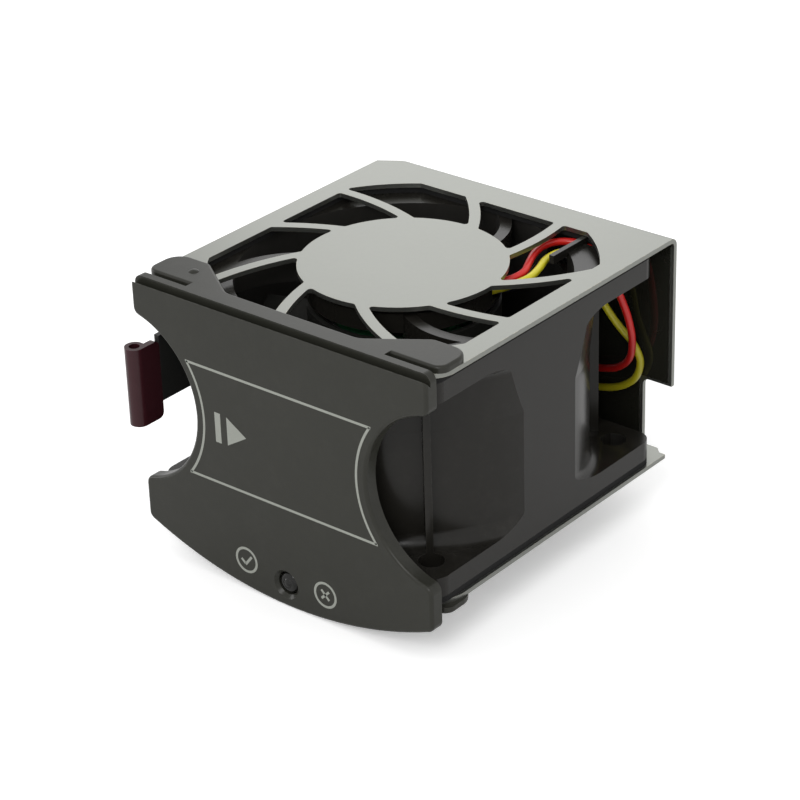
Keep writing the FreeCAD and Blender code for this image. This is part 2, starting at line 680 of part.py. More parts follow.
def preload_spring():
    """Two dished washers on the shaft between the hub boss and the lower bearing."""
    inner, outer = SHAFT_R + SPRING_WASHER_GAP, SHAFT_R + SPRING_WASHER_W
    foot = HUB_BOSS_HIGH
    cone = PRELOAD_SPRING_H / 2 - SPRING_WASHER_T - SPRING_WASHER_GAP / 2
    lower = revolve([(inner, foot + cone), (outer, foot), (outer, foot + SPRING_WASHER_T),
                     (inner, foot + cone + SPRING_WASHER_T)])
    return Part.makeCompound([lower, lower.mirror(V(0, 0, foot + PRELOAD_SPRING_H / 2), UP)])


def rotor_yoke():
    """Steel cup inside the impeller's hub, with the boss that holds the shaft."""
    cup = cylinder(YOKE_R, YOKE_LOW, YOKE_HIGH)
    cup = cup.cut(cylinder(MAGNET_R, YOKE_LOW + YOKE_T, HUB_HIGH))
    boss = cylinder(HUB_BOSS_R, YOKE_LOW, HUB_BOSS_HIGH)
    return cup.fuse(boss).cut(cylinder(SHAFT_R, YOKE_LOW - 1, HUB_BOSS_HIGH + 1)).removeSplitter()


def rotor_magnet():
    """Magnet ring on the inside of the yoke, level with the core."""
    return ring(MAGNET_R, CORE_R + AIR_GAP, MAGNET_LOW, MAGNET_HIGH)


def blade_section(radius, reach, low, high):
    """Closed wire of a thin cambered section, in the plane at one radius."""
    middle = (low + high) / 2
    start, end = V(radius, -reach / 2, high), V(radius, reach / 2, low)
    slant = math.hypot(reach, high - low)
    bow = V(0, (high - low) / slant, reach / slant)
    waist = V(radius, 0, middle)
    return Part.Wire([arc_edge(start, waist + bow * (BLADE_CAMBER + BLADE_T / 2), end),
                      arc_edge(end, waist + bow * (BLADE_CAMBER - BLADE_T / 2), start)])


def blade():
    """One twisted blade between the hub and the tip circle."""
    low = HUB_LOW + 0.8
    high = low + BLADE_HEIGHT
    inner_x, outer_x = HUB_R * 0.72, TIP_R + 1.5
    span = TIP_R - HUB_R
    sections = []
    for share in (0.0, 0.5, 1.0):
        radius = inner_x + share * (outer_x - inner_x)
        along = (radius - HUB_R) / span
        reach = BLADE_ROOT_REACH + along * (BLADE_TIP_REACH - BLADE_ROOT_REACH)
        sections.append(blade_section(radius, reach, low + along, high - along))
    solid = Part.makeLoft(sections, True)
    return solid.common(ring(TIP_R, HUB_R - 0.6, HUB_LOW, high + 1))


def impeller():
    """Hub cup with its ring of blades."""
    hub = cylinder(HUB_R, HUB_LOW, HUB_HIGH)
    rim = pick_edges(hub, lambda p: abs(p.z - HUB_LOW) < 1e-6)
    hub = hub.makeFillet(1.4, rim)
    hub = hub.cut(cylinder(YOKE_R, YOKE_LOW, HUB_HIGH + 1))
    one = blade()
    blades = [turned(one, number * 360.0 / BLADES) for number in range(BLADES)]
    return fuse_all([hub] + blades)


# ---------------------------------------------------------------- bezel
def bezel_plate():
    """Front plate: two lobes each side of round finger cut-outs, curved below."""
    half = BEZEL_WIDTH / 2
    centre_x = GRIP_ARC_REACH + GRIP_ARC_R
    rise = math.sqrt(GRIP_ARC_R ** 2 - (centre_x - half) ** 2)
    cut_high, cut_low = GRIP_ARC_HEIGHT + rise, GRIP_ARC_HEIGHT - rise

    def at(x, z):
        return V(x, -FAN_HALF, z)

    edges = [line_edge(at(-half, LIP_HIGH), at(half, LIP_HIGH)),
             line_edge(at(half, LIP_HIGH), at(half, cut_high)),
             arc_edge(at(half, cut_high), at(GRIP_ARC_REACH, GRIP_ARC_HEIGHT), at(half, cut_low)),
             line_edge(at(half, cut_low), at(half, BEZEL_SIDE_LOW)),
             arc_edge(at(half, BEZEL_SIDE_LOW), at(0, BEZEL_BOTTOM), at(-half, BEZEL_SIDE_LOW)),
             line_edge(at(-half, BEZEL_SIDE_LOW), at(-half, cut_low)),
             arc_edge(at(-half, cut_low), at(-GRIP_ARC_REACH, GRIP_ARC_HEIGHT), at(-half, cut_high)),
             line_edge(at(-half, cut_high), at(-half, LIP_HIGH))]
    plate = Part.Face(Part.Wire(edges)).extrude(V(0, -BEZEL_T, 0))
    corners = [edge for edge in plate.Edges if isinstance(edge.Curve, Part.Line)
               and abs(edge.Vertexes[0].Point.y - edge.Vertexes[-1].Point.y) > BEZEL_T / 2]
    plate = plate.makeFillet(BEZEL_CORNER_R, corners)
    front = pick_edges(plate, lambda p: abs(p.y - BEZEL_FRONT) < 1e-6)
    return plate.makeFillet(BEZEL_EDGE_R, front)


def top_groove():
    """Cutter for the wedge-shaped groove along the bezel's top front edge."""
    back = BEZEL_FRONT + GROOVE_W
    corners = [V(0, BEZEL_FRONT - 1, LIP_HIGH + 1), V(0, BEZEL_FRONT - 1, LIP_HIGH - LIP_T * 0.75),
               V(0, BEZEL_FRONT, LIP_HIGH - LIP_T * 0.75), V(0, back, LIP_HIGH - LIP_T * 0.75 - GROOVE_DEPTH),
               V(0, back, LIP_HIGH + 1)]
    face = Part.Face(Part.makePolygon(corners + corners[:1]))
    face.translate(V(-BEZEL_WIDTH, 0, 0))
    return face.extrude(V(2 * BEZEL_WIDTH, 0, 0))


def ear_plate(z0, z1):
    """Lip with an ear at each end, seen from above, split from the plate by slots."""
    back = -FAN_HALF
    half = BEZEL_WIDTH / 2
    lip, rear = back + LIP_DEPTH, back + EAR_DEPTH
    right = [(0, back), (SLOT_INNER, back), (SLOT_INNER, back + SLOT_W), (half, back + SLOT_W),
             (half, rear), (EAR_SHOULDER, rear), (EAR_INNER, lip), (0, lip)]
    halves = []
    for side in (-1, 1):
        points = [(side * x, y) for x, y in right]
        plate = polygon_plate(points, z0, z1)
        plate = plate.makeFillet(EAR_CORNER_R, upright_at(plate, side * half, rear)
                                 + upright_at(plate, side * EAR_INNER, lip))
        plate = plate.makeFillet(SLOT_OPEN_R, upright_at(plate, side * half, back + SLOT_W)
                                 + upright_at(plate, side * EAR_SHOULDER, rear))
        halves.append(plate)
    return fuse_all(halves)


def bezel():
    """Front plate with a pair of ears over the top sheet and a pair under the bottom one."""
    plate = bezel_plate().cut(top_groove())
    top = ear_plate(CAGE_HIGH, LIP_HIGH)
    top = top.makeFillet(LIP_T * 0.4, pick_edges(
        top, lambda p: abs(p.z - LIP_HIGH) < 1e-6 and p.y > -FAN_HALF + 0.01))
    low = ear_plate(-LIP_T, 0)
    low = low.makeFillet(LIP_T * 0.4, pick_edges(
        low, lambda p: abs(p.z + LIP_T) < 1e-6 and p.y > -FAN_HALF + 0.01))
    studs = []
    for x in (-STUD_X, STUD_X):
        studs.append(cylinder(STUD_R, CAGE_HIGH - SHEET * 0.9, CAGE_HIGH + 0.3, x, -STUD_Y))
        studs.append(cylinder(STUD_R, -0.3, SHEET * 0.9, x, -STUD_Y))
    pip = Part.makeSphere(EAR_PIP_SPHERE_R, V(-EAR_SHOULDER, -STUD_Y - 0.4,
                                              LIP_HIGH + EAR_PIP_H - EAR_PIP_SPHERE_R))
    pip = pip.common(box(-BEZEL_WIDTH, 0, -FAN_HALF, 0, CAGE_HIGH + LIP_T / 2, LIP_HIGH + 1))
    body = fuse_all([plate, top, low, pip] + studs)
    body = body.cut(cylinder_y(LENS_R + LENS_GAP, BEZEL_FRONT - 1, -FAN_HALF + 1, 0, LENS_HEIGHT))
    flare = Part.makeCone(LENS_R + 0.6, LENS_R, 0.65, V(0, BEZEL_FRONT, LENS_HEIGHT), V(0, 1, 0))
    return body.cut(flare)


def led_light_pipe():
    """Clear stepped lens with a domed front, seated from behind the bezel."""
    front = BEZEL_FRONT + LENS_RECESS
    body = cylinder_y(LENS_R, front, -FAN_HALF + LENS_COLLAR_T, 0, LENS_HEIGHT)
    body = body.makeFillet(LENS_R * 0.5, pick_edges(body, lambda p: abs(p.y - front) < 1e-6))
    collar = cylinder_y(LENS_COLLAR_R, -FAN_HALF, -FAN_HALF + LENS_COLLAR_T, 0, LENS_HEIGHT)
    return body.fuse(collar).removeSplitter()


# ---------------------------------------------------------------- latch
def knuckle_span(part):
    """Levels of the lower or upper knuckle; the coil spring sits between them."""
    middle = (ARM_LOW + ARM_HIGH) / 2
    low, high = ARM_LOW, ARM_HIGH
    half = COIL_HEIGHT / 2 + LATCH_GAP
    return (low, middle - half) if part == "lower" else (middle + half, high)


def latch_bracket():
    """Plate on the duct's flat with two lugs that hold the pivot pin."""
    wall = -FAN_HALF
    low, high = ARM_LOW - LATCH_GAP - LUG_T, ARM_HIGH + LATCH_GAP + LUG_T
    plate = box(wall - BRACKET_T, wall, BRACKET_FRONT, BRACKET_REAR, low, high)
    parts = [plate]
    for z0, z1 in ((low, low + LUG_T), (high - LUG_T, high)):
        lug = box(PIVOT_X, wall - BRACKET_T / 2, BRACKET_FRONT, -BRACKET_FRONT, z0, z1)
        parts += [lug, cylinder(-BRACKET_FRONT, z0, z1, PIVOT_X, 0)]
    body = fuse_all(parts)
    body = body.cut(cylinder(PIN_R, low - 1, high + 1, PIVOT_X, 0))
    for y, z in latch_screw_places():
        body = body.cut(Part.makeCylinder(LATCH_SCREW_R, 4, V(wall - 2, y, z), V(1, 0, 0)))
    return body


def latch_pin():
    """Steel pivot pin with a head on top."""
    low, high = ARM_LOW - LATCH_GAP - LUG_T, ARM_HIGH + LATCH_GAP + LUG_T
    return cylinder(PIN_R, low, high, PIVOT_X, 0).fuse(
        cylinder(PIN_R + 0.5, high, high + 0.5, PIVOT_X, 0)).removeSplitter()


def latch_screws():
    """Two small screws through the bracket into the duct wall."""
    screws = []
    head_face = -FAN_HALF - BRACKET_T
    for y, z in latch_screw_places():
        shank = Part.makeCylinder(LATCH_SCREW_R, BRACKET_T + LATCH_SCREW_LENGTH,
                                  V(head_face, y, z), V(1, 0, 0))
        head = Part.makeCylinder(LATCH_SCREW_HEAD_R, LATCH_SCREW_HEAD_T,
                                 V(head_face - LATCH_SCREW_HEAD_T, y, z), V(1, 0, 0))
        screws.append(head.fuse(shank).removeSplitter())
    return Part.makeCompound(screws)


def arm_hook():
    """Wedge on the arm's outer face that catches the edge of the bay."""
    tip = ARM_OUTER_X - HOOK_H
    plate = polygon_plate([(ARM_OUTER_X + 0.3, HOOK_Y), (tip, HOOK_Y), (tip, HOOK_Y + 0.8),
                           (ARM_OUTER_X, HOOK_Y + HOOK_LENGTH), (ARM_OUTER_X + 0.3, HOOK_Y + HOOK_LENGTH)],
                          ARM_LOW + HOOK_MARGIN, ARM_HIGH - HOOK_MARGIN)
    return plate


def latch_arm():
    """Black arm: two knuckles on the pin, a strip forwards, a hook and a tongue."""
    strip = box(ARM_OUTER_X, ARM_INNER_X, ARM_FRONT, 0, ARM_LOW, ARM_HIGH)
    tongue_x = (ARM_OUTER_X + ARM_INNER_X) / 2
    tongue = box(tongue_x - TONGUE_T / 2, tongue_x + TONGUE_T / 2, ARM_FRONT - TONGUE_LENGTH,
                 ARM_FRONT + 0.5, ARM_LOW + TONGUE_MARGIN, GRIP_HIGH - TONGUE_MARGIN)
    body = fuse_all([strip, tongue, arm_hook()])
    coil_low, coil_high = knuckle_span("lower")[1], knuckle_span("upper")[0]
    body = body.cut(cylinder(KNUCKLE_R + LATCH_GAP, coil_low, coil_high, PIVOT_X, 0))
    leg_x = PIVOT_X + SPRING_OUTER_R - SPRING_WIRE / 2
    leg_z = coil_low + LATCH_GAP + SPRING_WIRE / 2
    reach = SPRING_WIRE / 2 + PRESS_GAP
    body = body.cut(box(leg_x - reach, ARM_INNER_X + 1, -SPRING_LEG - PRESS_GAP, 1,
                        leg_z - reach, leg_z + reach))
    knuckles = [cylinder(KNUCKLE_R, *knuckle_span(part), PIVOT_X, 0) for part in ("lower", "upper")]
    body = fuse_all([body] + knuckles)
    return body.cut(cylinder(PIN_R + RUNNING_GAP, ARM_LOW - 1, ARM_HIGH + 1, PIVOT_X, 0))


def latch_grip():
    """Finger piece: a flat plate whose front edge is rolled into an open tube."""
    plate = box(ARM_INNER_X - GRIP_T, ARM_INNER_X, ROLL_Y, ARM_FRONT, GRIP_LOW, GRIP_HIGH)
    corners = pick_edges(plate, lambda p: abs(p.y - ARM_FRONT) < 1e-6
                         and (abs(p.z - GRIP_LOW) < 1e-6 or abs(p.z - GRIP_HIGH) < 1e-6))
    plate = plate.makeFillet(1.1, corners)
    roll_x = ARM_INNER_X - ROLL_R
    roll = cylinder(ROLL_R, GRIP_LOW, GRIP_HIGH, roll_x, ROLL_Y)
    body = plate.fuse(roll).cut(cylinder(ROLL_R - ROLL_WALL, GRIP_LOW - 1, GRIP_HIGH + 1, roll_x, ROLL_Y))
    tongue_x = (ARM_OUTER_X + ARM_INNER_X) / 2
    reach = TONGUE_T / 2 + PRESS_GAP
    pocket = box(tongue_x - reach, tongue_x + reach, ARM_FRONT - TONGUE_LENGTH - 0.1, ARM_FRONT + 1,
                 ARM_LOW + TONGUE_MARGIN - PRESS_GAP, GRIP_HIGH - TONGUE_MARGIN + PRESS_GAP)
    return body.cut(pocket).removeSplitter()


def latch_spring():
    """Torsion spring on the pin between the knuckles, with a leg each way."""
    low, high = knuckle_span("lower")[1] + LATCH_GAP, knuckle_span("upper")[0] - LATCH_GAP
    inner, outer = PIN_R + SPRING_GAP, SPRING_OUTER_R
    pitch = (high - low) / SPRING_TURNS
    points = [(inner, low)]
    for turn in range(SPRING_TURNS):
        base = low + turn * pitch
        points += [(outer - 0.14, base + 0.02), (outer, base + pitch / 2), (outer - 0.14, base + pitch - 0.02)]
    points.append((inner, high))
    coil = revolve(points)
    coil.translate(V(PIVOT_X, 0, 0))
    leg_r = SPRING_WIRE / 2
    leg_x = PIVOT_X + outer - leg_r
    front_leg = Part.makeCylinder(leg_r, SPRING_LEG, V(leg_x, 0, low + leg_r), V(0, -1, 0))
    rear_leg = Part.makeCylinder(leg_r, SPRING_LEG * 0.8, V(leg_x, 0, high - leg_r), V(0, 1, 0))
    body = fuse_all([coil, front_leg, rear_leg])
    return body.cut(cylinder(inner, low - 1, high + 1, PIVOT_X, 0))


# ---------------------------------------------------------------- rear connector and film
def connector_shell(clearance=0.0):
    """Outside of the connector's body where it passes the back plate."""
    half_w, half_h = CONNECTOR_WIDTH / 2 + clearance, CONNECTOR_HEIGHT / 2 + clearance
    return box(CONNECTOR_X - half_w, CONNECTOR_X + half_w, CONNECTOR_INNER, CAGE_BACK + CONNECTOR_REACH,
               CONNECTOR_Z - half_h, CONNECTOR_Z + half_h)


def rivet_places():
    """X places of the two rivets in the connector's collar."""
    reach = (CONNECTOR_WIDTH / 2 + COLLAR_WIDTH / 2) / 2
    return [CONNECTOR_X - reach, CONNECTOR_X + reach]


def contact_places():
    """X places of the contacts."""
    first = CONNECTOR_X - CONTACT_PITCH * (CONTACTS - 1) / 2
    return [first + number * CONTACT_PITCH for number in range(CONTACTS)]


def connector_housing():
    """Nylon shell with a collar on the back plate and an open mating end."""
    rear = CAGE_BACK + CONNECTOR_REACH
    body = connector_shell()
    collar = box(CONNECTOR_X - COLLAR_WIDTH / 2, CONNECTOR_X + COLLAR_WIDTH / 2,
                 CAGE_BACK, CAGE_BACK + COLLAR_T,
                 CONNECTOR_Z - CONNECTOR_HEIGHT / 2, CONNECTOR_Z + CONNECTOR_HEIGHT / 2)
    collar = collar.makeFillet(1.0, pick_edges(collar, lambda p: abs(
        abs(p.x - CONNECTOR_X) - COLLAR_WIDTH / 2) < 1e-6 and abs(
        abs(p.z - CONNECTOR_Z) - CONNECTOR_HEIGHT / 2) < 1e-6))
    body = body.fuse(collar).removeSplitter()
    half_w = CONNECTOR_WIDTH / 2 - CONNECTOR_WALL
    half_h = CONNECTOR_HEIGHT / 2 - CONNECTOR_WALL
    body = body.cut(box(CONNECTOR_X - half_w, CONNECTOR_X + half_w, CAGE_BACK, rear + 1,
                        CONNECTOR_Z - half_h, CONNECTOR_Z + half_h))
    for x in rivet_places():
        body = body.cut(cylinder_y(RIVET_R, CAGE_BACK - 1, CAGE_BACK + 2, x, CONNECTOR_Z))
    half = CONTACT_W / 2
    for x in contact_places():
        body = body.cut(box(x - half, x + half, CAGE_BACK - 2, CAGE_BACK + 1,
                            CONNECTOR_Z - half, CONNECTOR_Z + half))
    return body


def connector_contacts():
    """Square pins standing in the connector's mating end."""
    half = CONTACT_W / 2
    pins = []
    for x in contact_places():
        pin = box(x - half, x + half, CAGE_BACK - 2, CAGE_BACK + CONNECTOR_REACH - 1,
                  CONNECTOR_Z - half, CONNECTOR_Z + half)
        tip = pick_edges(pin, lambda p: abs(p.y - (CAGE_BACK + CONNECTOR_REACH - 1)) < 1e-6)
        pins.append(pin.makeChamfer(0.3, tip))
    return Part.makeCompound(pins)


def connector_rivets():
    """Two rivets that hold the connector's collar to the back plate."""
    rivets = []
    for x in rivet_places():
        outer = CAGE_BACK + COLLAR_T
        shank = cylinder_y(RIVET_R, BACK_INNER - RIVET_HEAD_T, outer, x, CONNECTOR_Z)
        head = cylinder_y(RIVET_HEAD_R, outer, outer + RIVET_HEAD_T, x, CONNECTOR_Z)
        head = head.makeFillet(0.4, pick_edges(head, lambda p: abs(p.y - outer - RIVET_HEAD_T) < 1e-6))
        tail = cylinder_y(RIVET_HEAD_R, BACK_INNER - RIVET_HEAD_T, BACK_INNER, x, CONNECTOR_Z)
        rivets.append(fuse_all([shank, head, tail]))
    return Part.makeCompound(rivets)


def insulating_film():
    """Thin black sheet on the inside of the back plate, open round the connector."""
    low, high = SHEET + BEND_R + 0.2, TOP_UNDER - BEND_R - 0.2
    y0, y1 = BACK_INNER - FILM_T, BACK_INNER
    wide = CAGE_WIDTH / 2 - FILM_MARGIN
    upper = box(-TOP_BEND_LEFT + FILM_MARGIN, wide, y0, y1, NOTCH_HEIGHT + FILM_MARGIN, high)
    narrow = NOTCH_HALF_WIDTH - FILM_MARGIN
    lower = box(-narrow, narrow, y0, y1, low, NOTCH_HEIGHT + FILM_MARGIN)
    film = upper.fuse(lower).removeSplitter()
    film = film.cut(connector_shell(PANEL_GAP * 2))
    for x in rivet_places():
        film = film.cut(cylinder_y(RIVET_HEAD_R + PANEL_GAP, y0 - 1, y1 + 1, x, CONNECTOR_Z))
    return film


# ---------------------------------------------------------------- leads
LEAD_DEPTH = (FAN_HALF + BACK_INNER - FILM_T) / 2
LEAD_END_X = CONNECTOR_X + CONNECTOR_WIDTH / 2


def lead_start(aside, radius=LEAD_EXIT_R):
    """Point in the motor base's notch, a given way to the left of its middle."""
    turn = math.radians(LEAD_EXIT_ANGLE)
    return (radius * math.cos(turn) - aside * math.sin(turn),
            radius * math.sin(turn) + aside * math.cos(turn), LEAD_LEVEL)


def lead_end(number, before=0.0):
    """Point on the straight last stretch into the connector's side."""
    return (LEAD_END_X + before, LEAD_DEPTH, CONNECTOR_Z + number * WIRE_PITCH)


def hung(right, back, down):
    """Point of a route: shares of the fan's half width from its axis, and of its height below
    its top face."""
    return (right * FAN_HALF, back * FAN_HALF, FAN_HIGH - down * FAN_HEIGHT)


RED_ROUTE = [lead_start(LEAD_SPREAD), lead_start(LEAD_SPREAD, 13.6), hung(0.487, 0.310, 0.032),
             hung(0.517, 0.420, 0.021), hung(0.463, 0.533, 0.018), hung(0.410, 0.647, 0.018),
             hung(0.387, 0.767, 0.018), hung(0.420, 0.873, 0.021), hung(0.520, 0.933, 0.024),
             hung(0.633, 0.943, 0.050), hung(0.720, 0.947, 0.129), hung(0.780, 0.960, 0.234),
             hung(0.823, 0.987, 0.345), hung(0.843, 1.003, 0.455), hung(0.820, 1.020, 0.561),
             hung(0.727, 1.033, 0.634), hung(0.580, 1.047, 0.676), hung(0.400, 1.057, 0.692),
             hung(0.220, 1.060, 0.671), hung(0.053, 1.057, 0.624), hung(-0.113, 1.056, 0.576),
             lead_end(0, LEAD_STRAIGHT), lead_end(0)]
YELLOW_ROUTE = [lead_start(-LEAD_SPREAD), lead_start(-LEAD_SPREAD, 14.2), hung(0.543, 0.260, 0.029),
                hung(0.587, 0.373, 0.018), hung(0.557, 0.500, 0.018), hung(0.510, 0.620, 0.018),
                hung(0.500, 0.747, 0.024), hung(0.517, 0.863, 0.045), hung(0.560, 0.933, 0.111),
                hung(0.607, 0.953, 0.213), hung(0.667, 0.980, 0.324), hung(0.733, 1.027, 0.424),
                hung(0.810, 1.060, 0.497), hung(0.863, 1.067, 0.582), hung(0.827, 1.067, 0.676),
                hung(0.720, 1.067, 0.745), hung(0.573, 1.063, 0.782), hung(0.407, 1.060, 0.784),
                hung(0.233, 1.060, 0.750), hung(0.073, 1.057, 0.697), hung(-0.087, 1.056, 0.645),
                lead_end(-1, LEAD_STRAIGHT), lead_end(-1)]
BLACK_ROUTE = [lead_start(0), lead_start(0, 13.8), hung(0.513, 0.273, 0.050),
               hung(0.530, 0.393, 0.063), hung(0.490, 0.527, 0.061), hung(0.447, 0.653, 0.061),
               hung(0.427, 0.773, 0.063), hung(0.443, 0.877, 0.082), hung(0.483, 0.943, 0.145),
               hung(0.513, 0.997, 0.234), hung(0.487, 1.037, 0.334), hung(0.387, 1.057, 0.413),
               hung(0.247, 1.060, 0.461), hung(0.087, 1.060, 0.487), hung(-0.073, 1.057, 0.500),
               lead_end(1, LEAD_STRAIGHT), lead_end(1)]


def lead(route, name):
    """Round lead along straight runs joined by tangent arcs."""
    points = [V(*place) for place in route]
    edges, radii = [], []
    here = points[0]
    for before, corner, after in zip(points, points[1:], points[2:]):
        back, ahead = before.sub(corner), after.sub(corner)
        share = WIRE_BEND_SHARE * min(back.Length, ahead.Length)
        turn = math.pi - back.getAngle(ahead)
        radii.append(share / math.tan(turn / 2))
        back.normalize()
        ahead.normalize()
        start, end = corner + back * share, corner + ahead * share
        inward = (back + ahead).normalize()
        reach = radii[-1] / math.cos(turn / 2) - radii[-1]
        edges.append(line_edge(here, start))
        edges.append(arc_edge(start, corner + inward * reach, end))
        here = end
    edges.append(line_edge(here, points[-1]))
    path = Part.Wire(edges)
    circle = Part.Circle(points[0], points[1].sub(points[0]), WIRE_R)
    tube = path.makePipeShell([Part.Wire(circle.toShape())], True, True)
    print(name, "length", round(path.Length, 1), "smallest radius", round(min(radii), 1),
          "volume ratio", round(tube.Volume / (math.pi * WIRE_R ** 2 * path.Length), 4))
    return tube


save(cage(), "cage")
save(gasket(SHEET), "gasket_bottom")
save(gasket(FAN_HIGH), "gasket_top")
save(fan_frame(), "fan_frame")
save(bearing_tube(), "bearing_tube")
save(bearing(LOWER_BEARING_LOW), "bearing_lower")
save(bearing(UPPER_BEARING_HIGH - BEARING_W), "bearing_upper")
save(stator_core(), "stator_core")
save(stator_insulators(), "stator_insulators")
save(stator_coils(), "stator_coils")
save(circuit_board(), "circuit_board")
save(shaft(), "shaft")
save(retaining_clip(), "retaining_clip")
save(preload_spring(), "preload_spring")
save(rotor_yoke(), "rotor_yoke")
save(rotor_magnet(), "rotor_magnet")
save(impeller(), "impeller")
save(bezel(), "bezel")
save(led_light_pipe(), "led_light_pipe")
save(latch_bracket(), "latch_bracket")
save(latch_pin(), "latch_pin")
save(latch_screws(), "latch_screws")
save(latch_arm(), "latch_arm")
save(latch_grip(), "latch_grip")
save(latch_spring(), "latch_spring")
save(connector_housing(), "connector_housing")
save(connector_contacts(), "connector_contacts")
save(connector_rivets(), "connector_rivets")
save(insulating_film(), "insulating_film")
save(lead(RED_ROUTE, "red"), "wire_red")
save(lead(YELLOW_ROUTE, "yellow"), "wire_yellow")
save(lead(BLACK_ROUTE, "black"), "wire_black")
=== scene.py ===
"""Server fan module: finishes, printed marks, small trim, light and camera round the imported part.

Every length is in metres in the part's own frame: +X right as seen from the front, +Y from the
bezel to the rear connector, +Z up along the fan's axis.
"""
import logging
import math
from dataclasses import dataclass, field
from enum import Enum

import bmesh
import bpy
from mathutils import Matrix, Vector


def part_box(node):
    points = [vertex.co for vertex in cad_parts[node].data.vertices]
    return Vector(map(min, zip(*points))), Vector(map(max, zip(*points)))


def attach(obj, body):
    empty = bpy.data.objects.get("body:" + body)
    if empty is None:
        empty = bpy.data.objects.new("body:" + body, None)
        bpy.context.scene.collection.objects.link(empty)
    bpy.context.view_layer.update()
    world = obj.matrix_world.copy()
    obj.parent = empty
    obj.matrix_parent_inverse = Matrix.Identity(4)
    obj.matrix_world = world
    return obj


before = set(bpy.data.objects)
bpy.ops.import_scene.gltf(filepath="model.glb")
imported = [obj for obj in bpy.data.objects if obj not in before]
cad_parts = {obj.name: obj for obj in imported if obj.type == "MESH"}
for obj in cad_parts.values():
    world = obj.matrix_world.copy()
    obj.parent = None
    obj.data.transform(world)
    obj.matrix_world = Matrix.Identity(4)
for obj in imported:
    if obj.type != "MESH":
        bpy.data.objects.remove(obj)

logging.basicConfig(level=logging.INFO, format="%(levelname)s %(message)s")
LOG = logging.getLogger("fan_module")
MM = 0.001
Triple = tuple[float, float, float]
Colour = Triple

FINE_MOTTLE_SCALE = 14.0                 # times the slow mottle's scale
SLOW_MOTTLE_SHARE = 0.6                  # the fine mottle has the rest
WEAR_BEND = (0.01, 0.16)                 # where an edge starts to show wear, and shows it fully
WEAR_BREAKUP = (0.42, 0.62)              # range of the noise that breaks the wear up
DUST_COLOUR = (0.42, 0.40, 0.37, 1.0)
DUST_SCALE = 260.0
DUST_SPECKS = (0.45, 0.72)               # range of the noise that makes the specks
PAINTED_SHADE_HEIGHTS = (16 * MM, 36 * MM)             # heights between which the tone of a lead falls: painted shade, for the shade deeper in the fan
BORE_FADE = 6 * MM                       # how soon a face counts as looking at the fan's axis
TRIANGLE_HEIGHT = 1.5                    # of an equal-sided triangle, in radii of its circle
TRIANGLE_SIDE = math.sqrt(3.0)           # its side, likewise


class Body(Enum):
    """The part's bodies, which the pieces ride on."""

    ROOT = "root"
    ROTOR = "rotor"
    LATCH = "latch"


class Grain(Enum):
    """The surface textures that the pieces' makers leave."""

    MOULDED = "moulded"
    ROLLED = "rolled"
    TURNED = "turned"
    FOAM = "foam"


